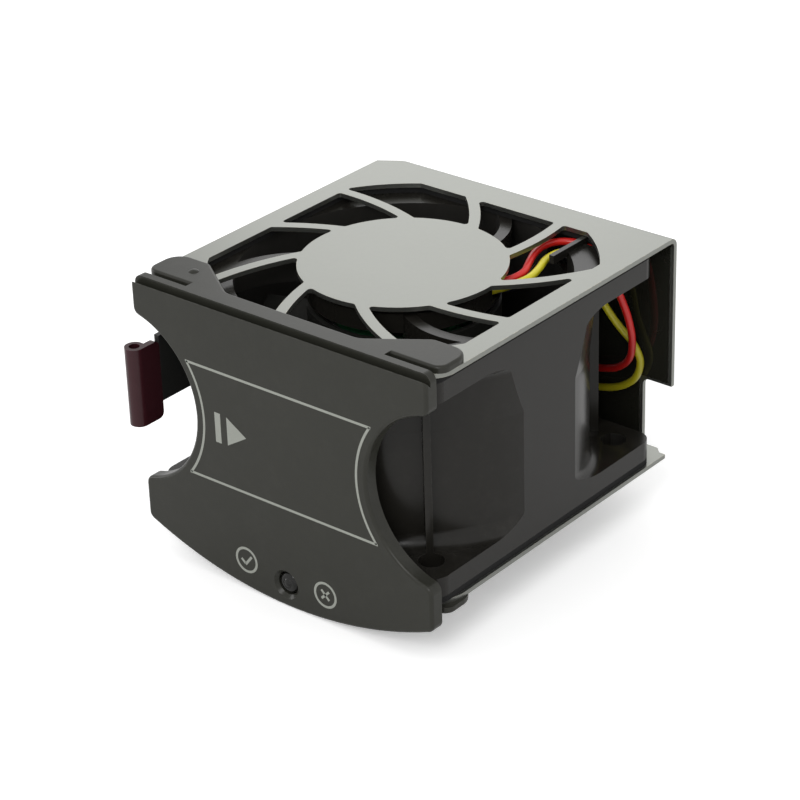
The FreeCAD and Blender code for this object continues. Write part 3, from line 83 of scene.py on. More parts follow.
# ------------------------------------------------------------------ shader groups
class GroupBuilder:
    """Builds a shader node group with named inputs and outputs."""

    def __init__(self, name: str) -> None:
        """Starts an empty group.

        Args:
            name: The group's name.
        """
        self.tree = bpy.data.node_groups.new(name, "ShaderNodeTree")
        self.inner = self.tree.nodes.new("NodeGroupInput")
        self.outer = self.tree.nodes.new("NodeGroupOutput")

    def takes(self, name: str, kind: str, value: object) -> bpy.types.NodeSocket:
        """Adds an input and returns its socket inside the group.

        Args:
            name: The input's name.
            kind: The socket's type, such as NodeSocketFloat.
            value: Its default value.

        Returns:
            The socket that carries the value inside the group.
        """
        socket = self.tree.interface.new_socket(name=name, in_out="INPUT", socket_type=kind)
        socket.default_value = value
        return self.inner.outputs[name]

    def gives(self, name: str, kind: str, source: bpy.types.NodeSocket) -> None:
        """Adds an output fed by a socket inside the group.

        Args:
            name: The output's name.
            kind: The socket's type.
            source: The socket that feeds it.
        """
        self.tree.interface.new_socket(name=name, in_out="OUTPUT", socket_type=kind)
        self.tree.links.new(source, self.outer.inputs[name])

    def node(self, kind: str, **settings: object) -> bpy.types.Node:
        """Adds a node and sets its properties.

        Args:
            kind: The node's type.
            **settings: Property names and values.

        Returns:
            The new node.
        """
        made = self.tree.nodes.new(kind)
        for name, value in settings.items():
            setattr(made, name, value)
        return made

    def feed(self, socket: bpy.types.NodeSocket, value: object) -> None:
        """Sets or links an input socket.

        Args:
            socket: The input.
            value: A socket to link, or a plain value.
        """
        if isinstance(value, bpy.types.NodeSocket):
            self.tree.links.new(value, socket)
        else:
            socket.default_value = value

    def math(self, operation: str, first: object, second: object = 0.0,
             clamp: bool = False) -> bpy.types.NodeSocket:
        """Adds a Math node.

        Args:
            operation: The node's operation.
            first: Its first value or socket.
            second: Its second value or socket.
            clamp: Whether the result stays between 0 and 1.

        Returns:
            The result's socket.
        """
        made = self.node("ShaderNodeMath", operation=operation, use_clamp=clamp)
        self.feed(made.inputs[0], first)
        self.feed(made.inputs[1], second)
        return made.outputs[0]

    def noise(self, place: object, scale: object, detail: float,
              roughness: float = 0.5) -> bpy.types.NodeSocket:
        """Adds a Noise Texture and returns its factor.

        Args:
            place: The socket that carries the coordinates.
            scale: The pattern's scale, or its socket.
            detail: How many finer layers it has.
            roughness: How strong the finer layers are.

        Returns:
            The noise factor's socket.
        """
        made = self.node("ShaderNodeTexNoise")
        self.feed(made.inputs["Vector"], place)
        self.feed(made.inputs["Scale"], scale)
        made.inputs["Detail"].default_value = detail
        made.inputs["Roughness"].default_value = roughness
        return made.outputs[0]

    def ramp(self, source: bpy.types.NodeSocket, low: object, high: object,
             to_low: object = 0.0, to_high: object = 1.0) -> bpy.types.NodeSocket:
        """Maps a value smoothly from one range to another.

        Args:
            source: The value's socket.
            low: Where the range starts.
            high: Where it ends.
            to_low: The result at the start.
            to_high: The result at the end.

        Returns:
            The mapped value's socket.
        """
        made = self.node("ShaderNodeMapRange", interpolation_type="SMOOTHSTEP")
        self.feed(made.inputs["Value"], source)
        for name, value in (("From Min", low), ("From Max", high),
                            ("To Min", to_low), ("To Max", to_high)):
            self.feed(made.inputs[name], value)
        return made.outputs["Result"]

    def place(self, stretch: Triple = (1.0, 1.0, 1.0)) -> bpy.types.NodeSocket:
        """Object coordinates, stretched along each axis.

        Args:
            stretch: The scale along X, Y and Z.

        Returns:
            The coordinates' socket.
        """
        coordinates = self.node("ShaderNodeTexCoord")
        mapping = self.node("ShaderNodeMapping")
        mapping.inputs["Scale"].default_value = stretch
        self.tree.links.new(coordinates.outputs["Object"], mapping.inputs["Vector"])
        return mapping.outputs["Vector"]


class SharedGroups:
    """The node groups that several finishes use, each built once."""

    def __init__(self) -> None:
        """Starts with no group built."""
        self._built: dict[str, bpy.types.NodeTree] = {}

    def get(self, name: str) -> bpy.types.NodeTree:
        """Returns a group, building it the first time.

        Args:
            name: The group's name, which is also its builder's name.

        Returns:
            The group.
        """
        if name not in self._built:
            self._built[name] = getattr(self, "_" + name)()
            LOG.info("shader group %s", name)
        return self._built[name]

    def _mottle(self) -> bpy.types.NodeTree:
        """Slow and fine changes of tone, as a factor round 1."""
        group = GroupBuilder("mottle")
        amount = group.takes("Amount", "NodeSocketFloat", 0.1)
        scale = group.takes("Scale", "NodeSocketFloat", 60.0)
        place = group.place()
        slow = group.noise(place, scale, 2.0)
        fine = group.noise(place, group.math("MULTIPLY", scale, FINE_MOTTLE_SCALE), 3.0, 0.6)
        both = group.math("ADD", group.math("MULTIPLY", slow, SLOW_MOTTLE_SHARE),
                          group.math("MULTIPLY", fine, 1.0 - SLOW_MOTTLE_SHARE))
        swing = group.math("MULTIPLY", group.math("SUBTRACT", both, 0.5), amount)
        group.gives("Factor", "NodeSocketFloat", group.math("ADD", swing, 1.0))
        return group.tree

    def _edge_wear(self) -> bpy.types.NodeTree:
        """Mask of the rubbed outer edges, broken up by noise."""
        group = GroupBuilder("edge_wear")
        width = group.takes("Width", "NodeSocketFloat", 0.0003)
        breakup = group.takes("Breakup", "NodeSocketFloat", 900.0)
        bevel = group.node("ShaderNodeBevel", samples=6)
        group.feed(bevel.inputs["Radius"], width)
        geometry = group.node("ShaderNodeNewGeometry")
        dot = group.node("ShaderNodeVectorMath", operation="DOT_PRODUCT")
        group.feed(dot.inputs[0], bevel.outputs["Normal"])
        group.feed(dot.inputs[1], geometry.outputs["Normal"])
        bent = group.math("SUBTRACT", 1.0, dot.outputs["Value"], clamp=True)
        edge = group.ramp(bent, *WEAR_BEND)
        noise = group.noise(group.place(), breakup, 4.0, 0.65)
        broken = group.ramp(noise, *WEAR_BREAKUP)
        group.gives("Mask", "NodeSocketFloat", group.math("MULTIPLY", edge, broken))
        return group.tree

    def _dust(self) -> bpy.types.NodeTree:
        """Mask of the fine dust that settles on faces that look up."""
        group = GroupBuilder("dust")
        amount = group.takes("Amount", "NodeSocketFloat", 0.1)
        geometry = group.node("ShaderNodeNewGeometry")
        split = group.node("ShaderNodeSeparateXYZ")
        group.feed(split.inputs[0], geometry.outputs["Normal"])
        up = group.ramp(split.outputs["Z"], -0.2, 0.9, 0.25, 1.0)
        noise = group.noise(group.place(), DUST_SCALE, 5.0, 0.7)
        specks = group.math("MULTIPLY", up, group.ramp(noise, *DUST_SPECKS))
        group.gives("Mask", "NodeSocketFloat", group.math("MULTIPLY", specks, amount, clamp=True))
        return group.tree

    def _painted_low_shade(self) -> bpy.types.NodeTree:
        """Painted shade: tone that falls from 1 near the fan's top face to a share of it lower
        down, for the shade deeper in the fan.
        """
        group = GroupBuilder("painted_low_shade")
        tone = group.takes("Tone", "NodeSocketFloat", 0.5)
        split = group.node("ShaderNodeSeparateXYZ")
        group.feed(split.inputs[0], group.place())
        group.gives("Factor", "NodeSocketFloat",
                    group.ramp(split.outputs["Z"], *PAINTED_SHADE_HEIGHTS, tone, 1.0))
        return group.tree

    def _bore(self) -> bpy.types.NodeTree:
        """Mask of the faces that look towards the fan's axis."""
        group = GroupBuilder("bore")
        amount = group.takes("Amount", "NodeSocketFloat", 0.5)
        geometry = group.node("ShaderNodeNewGeometry")
        inward = group.node("ShaderNodeVectorMath", operation="DOT_PRODUCT")
        group.feed(inward.inputs[0], geometry.outputs["Normal"])
        group.feed(inward.inputs[1], group.place((1.0, 1.0, 0.0)))
        group.gives("Mask", "NodeSocketFloat",
                    group.ramp(inward.outputs["Value"], -BORE_FADE, 0.0, amount, 0.0))
        return group.tree

    def _moulded(self) -> bpy.types.NodeTree:
        """Height of the fine pebbled skin that a moulding tool leaves."""
        group = GroupBuilder("moulded")
        scale = group.takes("Scale", "NodeSocketFloat", 4000.0)
        place = group.place()
        pebble = group.node("ShaderNodeTexVoronoi", feature="SMOOTH_F1")
        group.feed(pebble.inputs["Vector"], place)
        group.feed(pebble.inputs["Scale"], scale)
        noise = group.noise(place, group.math("MULTIPLY", scale, 0.4), 2.0)
        height = group.math("ADD", group.math("MULTIPLY", pebble.outputs["Distance"], 0.6), noise)
        group.gives("Height", "NodeSocketFloat", height)
        return group.tree

    def _rolled(self) -> bpy.types.NodeTree:
        """Height of the faint lines that rolling leaves in sheet metal."""
        group = GroupBuilder("rolled")
        scale = group.takes("Scale", "NodeSocketFloat", 900.0)
        lines = group.noise(group.place((1.0, 0.03, 1.0)), scale, 5.0, 0.7)
        group.gives("Height", "NodeSocketFloat", lines)
        return group.tree

    def _turned(self) -> bpy.types.NodeTree:
        """Height of fine rings round the fan's axis, from a lathe."""
        group = GroupBuilder("turned")
        scale = group.takes("Scale", "NodeSocketFloat", 3000.0)
        split = group.node("ShaderNodeSeparateXYZ")
        group.feed(split.inputs[0], group.place())
        join = group.node("ShaderNodeCombineXYZ")
        group.feed(join.inputs["Z"], split.outputs["Z"])
        rings = group.noise(join.outputs[0], scale, 4.0, 0.7)
        group.gives("Height", "NodeSocketFloat", rings)
        return group.tree

    def _foam(self) -> bpy.types.NodeTree:
        """Height of open foam cells."""
        group = GroupBuilder("foam")
        scale = group.takes("Scale", "NodeSocketFloat", 2500.0)
        cells = group.node("ShaderNodeTexVoronoi", feature="F1")
        group.feed(cells.inputs["Vector"], group.place())
        group.feed(cells.inputs["Scale"], scale)
        group.gives("Height", "NodeSocketFloat", cells.outputs["Distance"])
        return group.tree


GROUPS = SharedGroups()


# ------------------------------------------------------------------ finishes
@dataclass(frozen=True)
class Finish:
    """One surface finish, turned into a node material once.

    Attributes:
        name: The finish's name, which its material's name starts with.
        colour: Its base colour, linear.
        roughness: Its mean roughness.
        metallic: 1 for bare metal, 0 for anything else.
        grain: The kind of surface texture.
        grain_scale: How fine the texture is, in cells per metre.
        grain_depth: The texture's height in metres.
        mottle: How much the tone changes over the surface.
        wear: How strongly rubbed edges show.
        wear_colour: The colour of a rubbed edge.
        wear_width: How wide a rubbed edge is, in metres.
        dust: How much fine dust shows.
        bore_roughness: How much rougher the faces are that look towards the fan's axis.
        painted_depth_shade: The tone of the piece's lower end, as a share, darkened as painted
            shade for the shade deep in the fan; 1 is even.
        specular: The strength of the plain reflection.
    """

    name: str
    colour: Colour
    roughness: float = 0.5
    metallic: float = 0.0
    grain: Grain = Grain.MOULDED
    grain_scale: float = 4000.0
    grain_depth: float = 0.00001
    mottle: float = 0.15
    wear: float = 0.0
    wear_colour: Colour = (0.3, 0.3, 0.3)
    wear_width: float = 0.00025
    dust: float = 0.0
    bore_roughness: float = 0.0
    painted_depth_shade: float = 1.0
    specular: float = 0.5

    def material(self) -> bpy.types.Material:
        """Returns the finish's material, building it the first time.

        Returns:
            The node material.
        """
        return bpy.data.materials.get(self.name + "_finish") or self._build()

    def _build(self) -> bpy.types.Material:
        """Builds the node material from the shared groups and the finish's own values."""
        made = bpy.data.materials.new(self.name + "_finish")
        made.use_nodes = True
        made.diffuse_color = (*self.colour, 1.0)
        tree = made.node_tree
        shader = tree.nodes["Principled BSDF"]
        shader.inputs["Metallic"].default_value = self.metallic
        shader.inputs["Specular IOR Level"].default_value = self.specular
        mottle = self._group(tree, "mottle", Amount=self.mottle)
        tone = self._mix(tree, "MULTIPLY", 1.0, (*self.colour, 1.0), mottle.outputs["Factor"])
        rough = self._math(tree, "MULTIPLY", mottle.outputs["Factor"], self.roughness)
        # Painted shade: the lower end is darkened for the shade deeper in the fan.
        if self.painted_depth_shade < 1.0:
            low = self._group(tree, "painted_low_shade", Tone=self.painted_depth_shade)
            tone = self._mix(tree, "MULTIPLY", 1.0, tone, low.outputs["Factor"])
        if self.bore_roughness:
            bore = self._group(tree, "bore", Amount=self.bore_roughness)
            rough = self._math(tree, "ADD", rough, bore.outputs["Mask"])
        if self.wear:
            edge = self._group(tree, "edge_wear", Width=self.wear_width)
            mask = self._math(tree, "MULTIPLY", edge.outputs["Mask"], self.wear)
            tone = self._mix(tree, "MIX", mask, tone, (*self.wear_colour, 1.0))
        if self.dust:
            dust = self._group(tree, "dust", Amount=self.dust)
            tone = self._mix(tree, "MIX", dust.outputs["Mask"], tone, DUST_COLOUR)
            rough = self._math(tree, "ADD", rough, dust.outputs["Mask"])
        tree.links.new(tone, shader.inputs["Base Color"])
        tree.links.new(rough, shader.inputs["Roughness"])
        if self.grain_depth:
            height = self._group(tree, self.grain.value, Scale=self.grain_scale)
            bump = tree.nodes.new("ShaderNodeBump")
            bump.inputs["Strength"].default_value = 1.0
            bump.inputs["Distance"].default_value = self.grain_depth
            tree.links.new(height.outputs["Height"], bump.inputs["Height"])
            tree.links.new(bump.outputs["Normal"], shader.inputs["Normal"])
        LOG.info("finish %s", self.name)
        return made

    @staticmethod
    def _group(tree: bpy.types.NodeTree, name: str, **values: float) -> bpy.types.Node:
        """Places a shared group in a material with its own values.

        Args:
            tree: The material's node tree.
            name: The group's name.
            **values: Values for the group's inputs.

        Returns:
            The group node.
        """
        made = tree.nodes.new("ShaderNodeGroup")
        made.node_tree = GROUPS.get(name)
        for socket, value in values.items():
            made.inputs[socket].default_value = value
        return made

    @staticmethod
    def _mix(tree: bpy.types.NodeTree, blend: str, factor: object, first: object,
             second: object) -> bpy.types.NodeSocket:
        """Mixes two colours.

        Args:
            tree: The material's node tree.
            blend: The Mix node's blend type.
            factor: The factor, or its socket.
            first: The first colour, or its socket.
            second: The second colour, or its socket.

        Returns:
            The mixed colour's socket.
        """
        made = tree.nodes.new("ShaderNodeMix")
        made.data_type = "RGBA"
        made.blend_type = blend
        for index, value in ((0, factor), (6, first), (7, second)):
            if isinstance(value, bpy.types.NodeSocket):
                tree.links.new(value, made.inputs[index])
            else:
                made.inputs[index].default_value = value
        return made.outputs[2]

    @staticmethod
    def _math(tree: bpy.types.NodeTree, operation: str, first: bpy.types.NodeSocket,
              second: object) -> bpy.types.NodeSocket:
        """Adds a clamped Math node to a material.

        Args:
            tree: The material's node tree.
            operation: The node's operation.
            first: The first value's socket.
            second: The second value, or its socket.

        Returns:
            The result's socket.
        """
        made = tree.nodes.new("ShaderNodeMath")
        made.operation = operation
        made.use_clamp = True
        tree.links.new(first, made.inputs[0])
        if isinstance(second, bpy.types.NodeSocket):
            tree.links.new(second, made.inputs[1])
        else:
            made.inputs[1].default_value = second
        return made.outputs[0]


SHEET_STEEL = Finish("sheet_steel", (0.232, 0.238, 0.218), 0.30, metallic=0.9, grain=Grain.ROLLED,
                     grain_scale=1500.0, grain_depth=0.000003, mottle=0.18, wear=0.6,
                     wear_colour=(0.50, 0.47, 0.36), wear_width=0.0002)
BEZEL_PLASTIC = Finish("bezel_plastic", (0.024, 0.024, 0.019), 0.29, grain_scale=5200.0,
                       grain_depth=0.000004, mottle=0.25, wear=0.30, wear_colour=(0.10, 0.10, 0.09),
                       dust=0.02, specular=0.22)
FAN_PLASTIC = Finish("fan_plastic", (0.013, 0.012, 0.010), 0.24, grain_depth=0.000003, mottle=0.3,
                     wear=0.25, wear_colour=(0.07, 0.07, 0.06), dust=0.02, bore_roughness=0.6,
                     specular=0.24)
IMPELLER_PLASTIC = Finish("impeller_plastic", (0.014, 0.014, 0.012), 0.55, grain_depth=0.000003,
                          mottle=0.3, wear=0.15, wear_colour=(0.05, 0.05, 0.05), dust=0.02,
                          specular=0.22)
BLACK_NYLON = Finish("black_nylon", (0.016, 0.016, 0.015), 0.45, grain_depth=0.000008, wear=0.3,
                     wear_colour=(0.09, 0.09, 0.09), dust=0.02, specular=0.25)
BURGUNDY = Finish("burgundy_plastic", (0.034, 0.008, 0.011), 0.24, grain_depth=0.000005, mottle=0.2,
                  wear=0.3, wear_colour=(0.14, 0.05, 0.06), dust=0.01, specular=0.25)
BLACK_FILM = Finish("black_film", (0.012, 0.012, 0.009), 0.08, grain_depth=0.000001, dust=0.01,
                    specular=0.35)
FOAM = Finish("gasket_foam", (0.012, 0.012, 0.012), 0.9, grain=Grain.FOAM, grain_depth=0.00005,
              specular=0.2)
# The leads' lower ends are darkened with painted shade, for the shade deeper in the fan.
RED_SLEEVE = Finish("red_sleeve", (0.68, 0.014, 0.012), 0.32, grain_depth=0.000002,
                    mottle=0.15, painted_depth_shade=0.4)
YELLOW_SLEEVE = Finish("yellow_sleeve", (0.72, 0.64, 0.02), 0.32, grain_depth=0.000002,
                       mottle=0.15, painted_depth_shade=0.4)
BLACK_SLEEVE = Finish("black_sleeve", (0.012, 0.012, 0.012), 0.32, grain_depth=0.000002)
SMOKED_LENS = Finish("smoked_lens", (0.006, 0.006, 0.005), 0.05, grain_depth=0.0, specular=0.35)
BRASS = Finish("brass", (0.62, 0.42, 0.16), 0.3, metallic=1.0, grain=Grain.TURNED,
               grain_depth=0.000004)
BRIGHT_STEEL = Finish("bright_steel", (0.62, 0.62, 0.61), 0.22, metallic=1.0, grain=Grain.TURNED,
                      grain_depth=0.000003)
PLATED_STEEL = Finish("plated_steel", (0.40, 0.40, 0.38), 0.36, metallic=1.0, grain=Grain.ROLLED,
                      grain_depth=0.000004, wear=0.3, wear_colour=(0.6, 0.6, 0.56))
SPRING_STEEL = Finish("spring_steel", (0.34, 0.34, 0.34), 0.3, metallic=1.0, grain=Grain.ROLLED,
                      grain_depth=0.000003)
LAMINATIONS = Finish("laminations", (0.26, 0.26, 0.27), 0.45, metallic=1.0, grain=Grain.TURNED,
                     grain_scale=1600.0, grain_depth=0.00003)
WHITE_NYLON = Finish("white_nylon", (0.70, 0.69, 0.63), 0.5)
COPPER = Finish("copper", (0.62, 0.22, 0.08), 0.3, metallic=1.0, grain=Grain.TURNED,
                grain_scale=1500.0, grain_depth=0.00006)
BOARD_GREEN = Finish("board_green", (0.02, 0.13, 0.05), 0.35)
FERRITE = Finish("ferrite", (0.05, 0.05, 0.05), 0.6)
TIN = Finish("tin_plate", (0.66, 0.65, 0.60), 0.25, metallic=1.0, grain_depth=0.000003)
ALUMINIUM = Finish("rivet_aluminium", (0.60, 0.60, 0.58), 0.35, metallic=1.0, grain_depth=0.000004)
PRINT_GREY = Finish("print_grey", (0.27, 0.28, 0.25), 0.5, grain_depth=0.0, mottle=0.25,
                    specular=0.3)


def dress(node: str, finish: Finish) -> None:
    """Gives a node of the frame its finish.

    Args:
        node: The node's name.
        finish: The finish.
    """
    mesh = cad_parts[node].data
    mesh.materials.clear()
    mesh.materials.append(finish.material())
    LOG.info("%s: %s", node, finish.name)


def piece_from(mesh: bmesh.types.BMesh, name: str, finish: Finish, body: Body) -> None:
    """Turns a finished bmesh into a piece that rides on a body.

    Args:
        mesh: The bmesh, which is freed.
        name: The piece's name.
        finish: Its finish.
        body: The body it rides on.
    """
    data = bpy.data.meshes.new(name)
    mesh.to_mesh(data)
    mesh.free()
    made = bpy.data.objects.new(name, data)
    bpy.context.scene.collection.objects.link(made)
    data.materials.append(finish.material())
    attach(made, body.value)
    LOG.info("piece %s on %s", name, body.value)


# ------------------------------------------------------------------ sub-assemblies
@dataclass
class Assembly:
    """A sub-assembly whose solids are shown as they are.

    Attributes:
        finishes: The finish of each of its nodes.
    """

    finishes: dict[str, Finish]

    def build(self) -> None:
        """Dresses the sub-assembly's nodes."""
        for node, finish in self.finishes.items():
            dress(node, finish)


@dataclass
class Cage(Assembly):
    """Folded steel cage with its gaskets and film."""

    finishes: dict[str, Finish] = field(default_factory=lambda: {
        "cage": SHEET_STEEL, "gasket_top": FOAM, "gasket_bottom": FOAM,
        "insulating_film": BLACK_FILM})


@dataclass
class Fan(Assembly):
    """The fan's frame, impeller and motor."""

    finishes: dict[str, Finish] = field(default_factory=lambda: {
        "fan_frame": FAN_PLASTIC, "impeller": IMPELLER_PLASTIC, "rotor_yoke": PLATED_STEEL,
        "rotor_magnet": FERRITE, "shaft": BRIGHT_STEEL, "retaining_clip": SPRING_STEEL,
        "preload_spring": SPRING_STEEL, "bearing_tube": BRASS, "bearing_lower": BRIGHT_STEEL,
        "bearing_upper": BRIGHT_STEEL, "stator_core": LAMINATIONS, "stator_insulators": WHITE_NYLON,
        "stator_coils": COPPER, "circuit_board": BOARD_GREEN})


@dataclass
class Leads(Assembly):
    """The three leads from the motor and the rear connector they end in."""

    finishes: dict[str, Finish] = field(default_factory=lambda: {
        "wire_red": RED_SLEEVE, "wire_yellow": YELLOW_SLEEVE, "wire_black": BLACK_SLEEVE,
        "connector_housing": BLACK_NYLON, "connector_contacts": TIN, "connector_rivets": ALUMINIUM})


@dataclass
class Latch(Assembly):
    """The side latch and its bracket."""

    finishes: dict[str, Finish] = field(default_factory=lambda: {
        "latch_arm": BLACK_NYLON, "latch_grip": BURGUNDY, "latch_spring": SPRING_STEEL,
        "latch_bracket": PLATED_STEEL, "latch_pin": BRIGHT_STEEL, "latch_screws": BRIGHT_STEEL})


@dataclass
class Bezel:
    """The front bezel, its printed marks and its light.

    Attributes:
        front: Where the bezel's front face lies along Y.
        ink: How far the printed marks stand out of it.
        line: The width of the printed lines.
        cut_middle: The middle of a finger cut-out, as distances along X and Z.
        frame_radius: The radius of the printed frame's curved sides.
        frame_low: The height of its lower line.
        frame_high: The height of its upper line.
        arc_steps: How many steps a curved side has.
        bar: Middle, width and height of the bar beside the arrow.
        arrow: Foot and tip along X, middle height and total height of the arrow.
        light_marks: Middles of the tick and the cross beside the light.
        ring_radius: The radius of the ring round each of them.
        tick: The tick's strokes, each as its place along X and Z, its turn in degrees and its
            length. Places and lengths are shares of the ring's radius.
        cross: The cross's strokes, likewise.
        bead: Middle along Y, height and radius of the bead in the light's hole.
    """

    front: float = -32.5 * MM
    ink: float = 0.03 * MM
    line: float = 0.45 * MM
    cut_middle: tuple[float, float] = (33.8 * MM, 20.9 * MM)
    frame_radius: float = 17.5 * MM
    frame_low: float = 10.1 * MM
    frame_high: float = 30.9 * MM
    arc_steps: int = 24
    bar: tuple[float, float, float, float] = (-13.2 * MM, 20.5 * MM, 1.25 * MM, 5.5 * MM)
    arrow: tuple[float, float, float, float] = (-11.2 * MM, -7.0 * MM, 20.45 * MM, 5.2 * MM)
    light_marks: tuple[tuple[float, float], ...] = ((-8.6 * MM, -3.0 * MM), (8.6 * MM, -3.5 * MM))
    ring_radius: float = 2.2 * MM
    tick: tuple[tuple[float, float, float, float], ...] = (
        (0.20, 0.0, -52.0, 1.05), (-0.33, -0.17, 42.0, 0.50))
    cross: tuple[tuple[float, float, float, float], ...] = (
        (0.0, 0.0, 45.0, 1.05), (0.0, 0.0, -45.0, 1.05))
    bead: tuple[float, float, float] = (-31.2 * MM, -4.65 * MM, 1.25 * MM)

    def build(self) -> None:
        """Dresses the bezel and its light, and prints the marks."""
        dress("bezel", BEZEL_PLASTIC)
        dress("led_light_pipe", SMOKED_LENS)
        self._printed_frame()
        self._printed_arrow()
        self._light_marks()
        self._bead()

    def _bead(self) -> None:
        """Adds the round bead of the light in the middle of its lens."""
        mesh = bmesh.new()
        depth, height, radius = self.bead
        bmesh.ops.create_uvsphere(mesh, u_segments=32, v_segments=16, radius=radius,
                                  matrix=Matrix.Translation((0.0, depth, height)))
        for face in mesh.faces:
            face.smooth = True
        piece_from(mesh, "led_bead", SMOKED_LENS, Body.ROOT)

    def _place(self, x: float, z: float, turn: float = 0.0) -> Matrix:
        """Place of a mark on the front face.

        Args:
            x: Its middle along X.
            z: Its middle along Z.
            turn: Its turn about Y, in radians.

        Returns:
            The place as a matrix.
        """
        return Matrix.Translation((x, self.front, z)) @ Matrix.Rotation(turn, 4, "Y")

    def _stroke(self, mesh: bmesh.types.BMesh, place: Matrix, length: float, width: float) -> None:
        """Adds a straight printed stroke.

        Args:
            mesh: The bmesh that takes it.
            place: Its place; it runs along the place's X.
            length: Its length.
            width: Its width.
        """
        bmesh.ops.create_cube(mesh, size=1.0,
                              matrix=place @ Matrix.Diagonal((length, 2 * self.ink, width, 1.0)))

    def _arc(self, mesh: bmesh.types.BMesh, place: Matrix, radius: float, sweep: float,
             steps: int) -> None:
        """Adds a curved printed stroke.

        Args:
            mesh: The bmesh that takes it.
            place: The arc's middle, turned so that its X points at the start.
            radius: The arc's radius.
            sweep: How far it runs about Y, in radians.
            steps: How many steps it has.
        """
        section = Matrix.Translation((radius, 0.0, 0.0)) @ Matrix.Diagonal(
            (self.line, 2 * self.ink, 1.0, 1.0))
        corners = bmesh.ops.create_grid(mesh, x_segments=1, y_segments=1, size=0.5,
                                        matrix=place @ section)["verts"]
        edges = list({edge for corner in corners for edge in corner.link_edges})
        faces = list({face for corner in corners for face in corner.link_faces})
        closed = math.isclose(sweep, math.tau)
        if closed:
            bmesh.ops.delete(mesh, geom=faces, context="FACES_ONLY")
            faces = []
        bmesh.ops.spin(mesh, geom=corners + edges + faces, cent=place.translation, axis=(0, 1, 0),
                       dvec=(0, 0, 0), angle=sweep, steps=steps, use_merge=closed)

    def _finish_print(self, mesh: bmesh.types.BMesh, name: str) -> None:
        """Closes a print's seams, points its faces outwards and makes it a piece."""
        bmesh.ops.remove_doubles(mesh, verts=mesh.verts, dist=0.001 * MM)
        bmesh.ops.recalc_face_normals(mesh, faces=mesh.faces)
        piece_from(mesh, name, PRINT_GREY, Body.ROOT)

    def _printed_frame(self) -> None:
        """Prints the line round the middle of the bezel, curved along the finger cut-outs."""
        mesh = bmesh.new()
        out, level = self.cut_middle
        for height in (self.frame_low, self.frame_high):
            reach = out - math.sqrt(self.frame_radius ** 2 - (height - level) ** 2)
            self._stroke(mesh, self._place(0.0, height), 2 * reach + self.line, self.line)
        low = math.asin((self.frame_low - level) / self.frame_radius)
        high = math.asin((self.frame_high - level) / self.frame_radius)
        self._arc(mesh, self._place(out, level, math.pi + low), self.frame_radius, high - low,
                  self.arc_steps)
        self._arc(mesh, self._place(-out, level, -low), self.frame_radius, low - high,
                  self.arc_steps)
        self._finish_print(mesh, "bezel_printed_frame")

    def _printed_arrow(self) -> None:
        """Prints the bar and the filled arrow that point to the right."""
        mesh = bmesh.new()
        x, z, width, height = self.bar
        self._stroke(mesh, self._place(x, z), width, height)
        foot, tip, level, tall = self.arrow
        radius = (tip - foot) / TRIANGLE_HEIGHT
        squash = tall / (radius * TRIANGLE_SIDE)
        place = self._place(foot + radius / 2, level) @ Matrix.Diagonal((1.0, 1.0, squash, 1.0))
        point = place @ Matrix.Rotation(math.pi / 2, 4, "Y") @ Matrix.Rotation(math.pi / 2, 4, "X")
        bmesh.ops.create_cone(mesh, cap_ends=True, segments=3, radius1=radius, radius2=radius,
                              depth=2 * self.ink, matrix=point)
        self._finish_print(mesh, "bezel_printed_arrow")

    def _light_marks(self) -> None:
        """Prints a tick and a cross, each in a ring, beside the light."""
        mesh = bmesh.new()
        for x, z in self.light_marks:
            self._arc(mesh, self._place(x, z), self.ring_radius, math.tau, 2 * self.arc_steps)
        arm = self.ring_radius
        for (x, z), strokes in zip(self.light_marks, (self.tick, self.cross)):
            for across, up, turn, length in strokes:
                place = self._place(x + across * arm, z + up * arm, math.radians(turn))
                self._stroke(mesh, place, length * arm, self.line)
        self._finish_print(mesh, "bezel_light_marks")


# ------------------------------------------------------------------ studio
@dataclass(frozen=True)
class Lamp:
    """A square soft lamp that points at the part's origin.

    Attributes:
        name: Its name.
        place: Where it stands.
        size: The length of its side.
        power: Its power in watts.
    """

    name: str
    place: Triple
    size: float
    power: float

    def build(self) -> None:
        """Adds the lamp."""
        data = bpy.data.lights.new(self.name, "AREA")
        data.size = self.size
        data.energy = self.power
        lamp = bpy.data.objects.new(self.name, data)
        lamp.location = self.place
        lamp.rotation_euler = (-Vector(self.place)).to_track_quat("-Z", "Y").to_euler()
        bpy.context.scene.collection.objects.link(lamp)
        LOG.info("lamp %s", self.name)


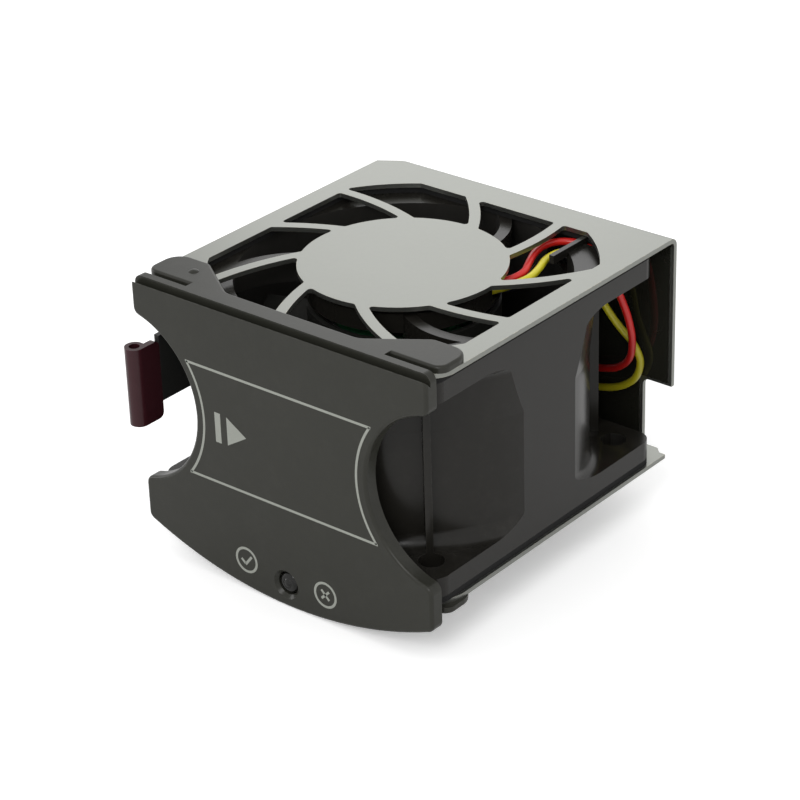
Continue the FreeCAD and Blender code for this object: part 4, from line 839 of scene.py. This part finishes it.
@dataclass
class Studio:
    """Floor, light and camera.

    Attributes:
        floor_half: Half the floor's side.
        floor_tone: The floor's grey.
        floor_roughness: Its roughness.
        floor_glow: How strongly it glows where the camera sees it, to come out white.
        sky_strength: The sky's light on the part; it is 1 where it is seen or mirrored.
        lamps: The lamps behind the part, above the camera and at the left.
        camera_place: Where the camera stands.
        camera_turn: Its turns about X, Y and Z, in degrees.
        lens: Its focal length in millimetres.
        sensor: Its sensor's width in millimetres.
        clip: The nearest and the farthest distance that it sees.
    """

    floor_half: float = 3.0
    floor_tone: float = 0.96
    floor_roughness: float = 0.9
    floor_glow: float = 0.30
    sky_strength: float = 0.85
    lamps: tuple[Lamp, ...] = (Lamp("rear", (-0.198, 0.272, 0.185), 0.16, 0.085),
                               Lamp("front", (0.19, -0.47, 0.42), 0.22, 1.1),
                               Lamp("left", (-0.55, -0.20, 0.16), 0.20, 0.45))
    camera_place: Triple = (0.26056, -0.31052, 0.22891)
    camera_turn: Triple = (62.272, 1.636, 39.315)
    lens: float = 121.7
    sensor: float = 36.0
    clip: tuple[float, float] = (0.01, 20.0)

    def build(self) -> None:
        """Sets up the whole studio."""
        bpy.context.scene.view_settings.view_transform = "Standard"
        self._floor()
        self._sky()
        for lamp in self.lamps:
            lamp.build()
        self._camera()

    def _floor(self) -> None:
        """Adds the pale floor under the part's lowest point."""
        mesh = bmesh.new()
        bmesh.ops.create_grid(mesh, x_segments=1, y_segments=1, size=self.floor_half)
        bmesh.ops.translate(mesh, verts=mesh.verts, vec=(0, 0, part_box("bezel")[0].z))
        data = bpy.data.meshes.new("floor")
        mesh.to_mesh(data)
        mesh.free()
        floor = bpy.data.objects.new("floor", data)
        bpy.context.scene.collection.objects.link(floor)
        material = bpy.data.materials.new("floor")
        material.use_nodes = True
        shader = material.node_tree.nodes["Principled BSDF"]
        tone = self.floor_tone
        shader.inputs["Base Color"].default_value = (tone, tone, tone, 1.0)
        shader.inputs["Roughness"].default_value = self.floor_roughness
        shader.inputs["Specular IOR Level"].default_value = 0.0
        shader.inputs["Emission Color"].default_value = (1.0, 1.0, 1.0, 1.0)
        path = material.node_tree.nodes.new("ShaderNodeLightPath")
        glow = material.node_tree.nodes.new("ShaderNodeMath")
        glow.operation = "MULTIPLY"
        glow.inputs[1].default_value = self.floor_glow
        material.node_tree.links.new(path.outputs["Is Camera Ray"], glow.inputs[0])
        material.node_tree.links.new(glow.outputs[0], shader.inputs["Emission Strength"])
        data.materials.append(material)
        LOG.info("floor")

    def _sky(self) -> None:
        """Soft white light from all round, pure white where it is seen or mirrored."""
        world = bpy.data.worlds.new("sky")
        bpy.context.scene.world = world
        world.use_nodes = True
        tree = world.node_tree
        background = tree.nodes["Background"]
        background.inputs["Color"].default_value = (1.0, 1.0, 1.0, 1.0)
        path = tree.nodes.new("ShaderNodeLightPath")
        seen = path.outputs["Is Camera Ray"]
        for kind in ("Is Glossy Ray", "Is Transmission Ray"):
            either = tree.nodes.new("ShaderNodeMath")
            either.operation = "MAXIMUM"
            tree.links.new(seen, either.inputs[0])
            tree.links.new(path.outputs[kind], either.inputs[1])
            seen = either.outputs[0]
        level = tree.nodes.new("ShaderNodeMapRange")
        level.inputs["To Min"].default_value = self.sky_strength
        level.inputs["To Max"].default_value = 1.0
        tree.links.new(seen, level.inputs["Value"])
        tree.links.new(level.outputs["Result"], background.inputs["Strength"])
        LOG.info("sky")

    def _camera(self) -> None:
        """Adds the camera."""
        data = bpy.data.cameras.new("camera")
        data.sensor_width = self.sensor
        data.lens = self.lens
        data.clip_start, data.clip_end = self.clip
        camera = bpy.data.objects.new("camera", data)
        camera.location = self.camera_place
        camera.rotation_euler = tuple(math.radians(turn) for turn in self.camera_turn)
        bpy.context.scene.collection.objects.link(camera)
        bpy.context.scene.camera = camera
        LOG.info("camera")


def main() -> None:
    """Builds the module's sub-assemblies and the studio."""
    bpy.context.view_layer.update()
    for part in (Cage(), Fan(), Leads(), Latch(), Bezel(), Studio()):
        LOG.info("building %s", type(part).__name__)
        part.build()


if __name__ == "__main__":
    main()
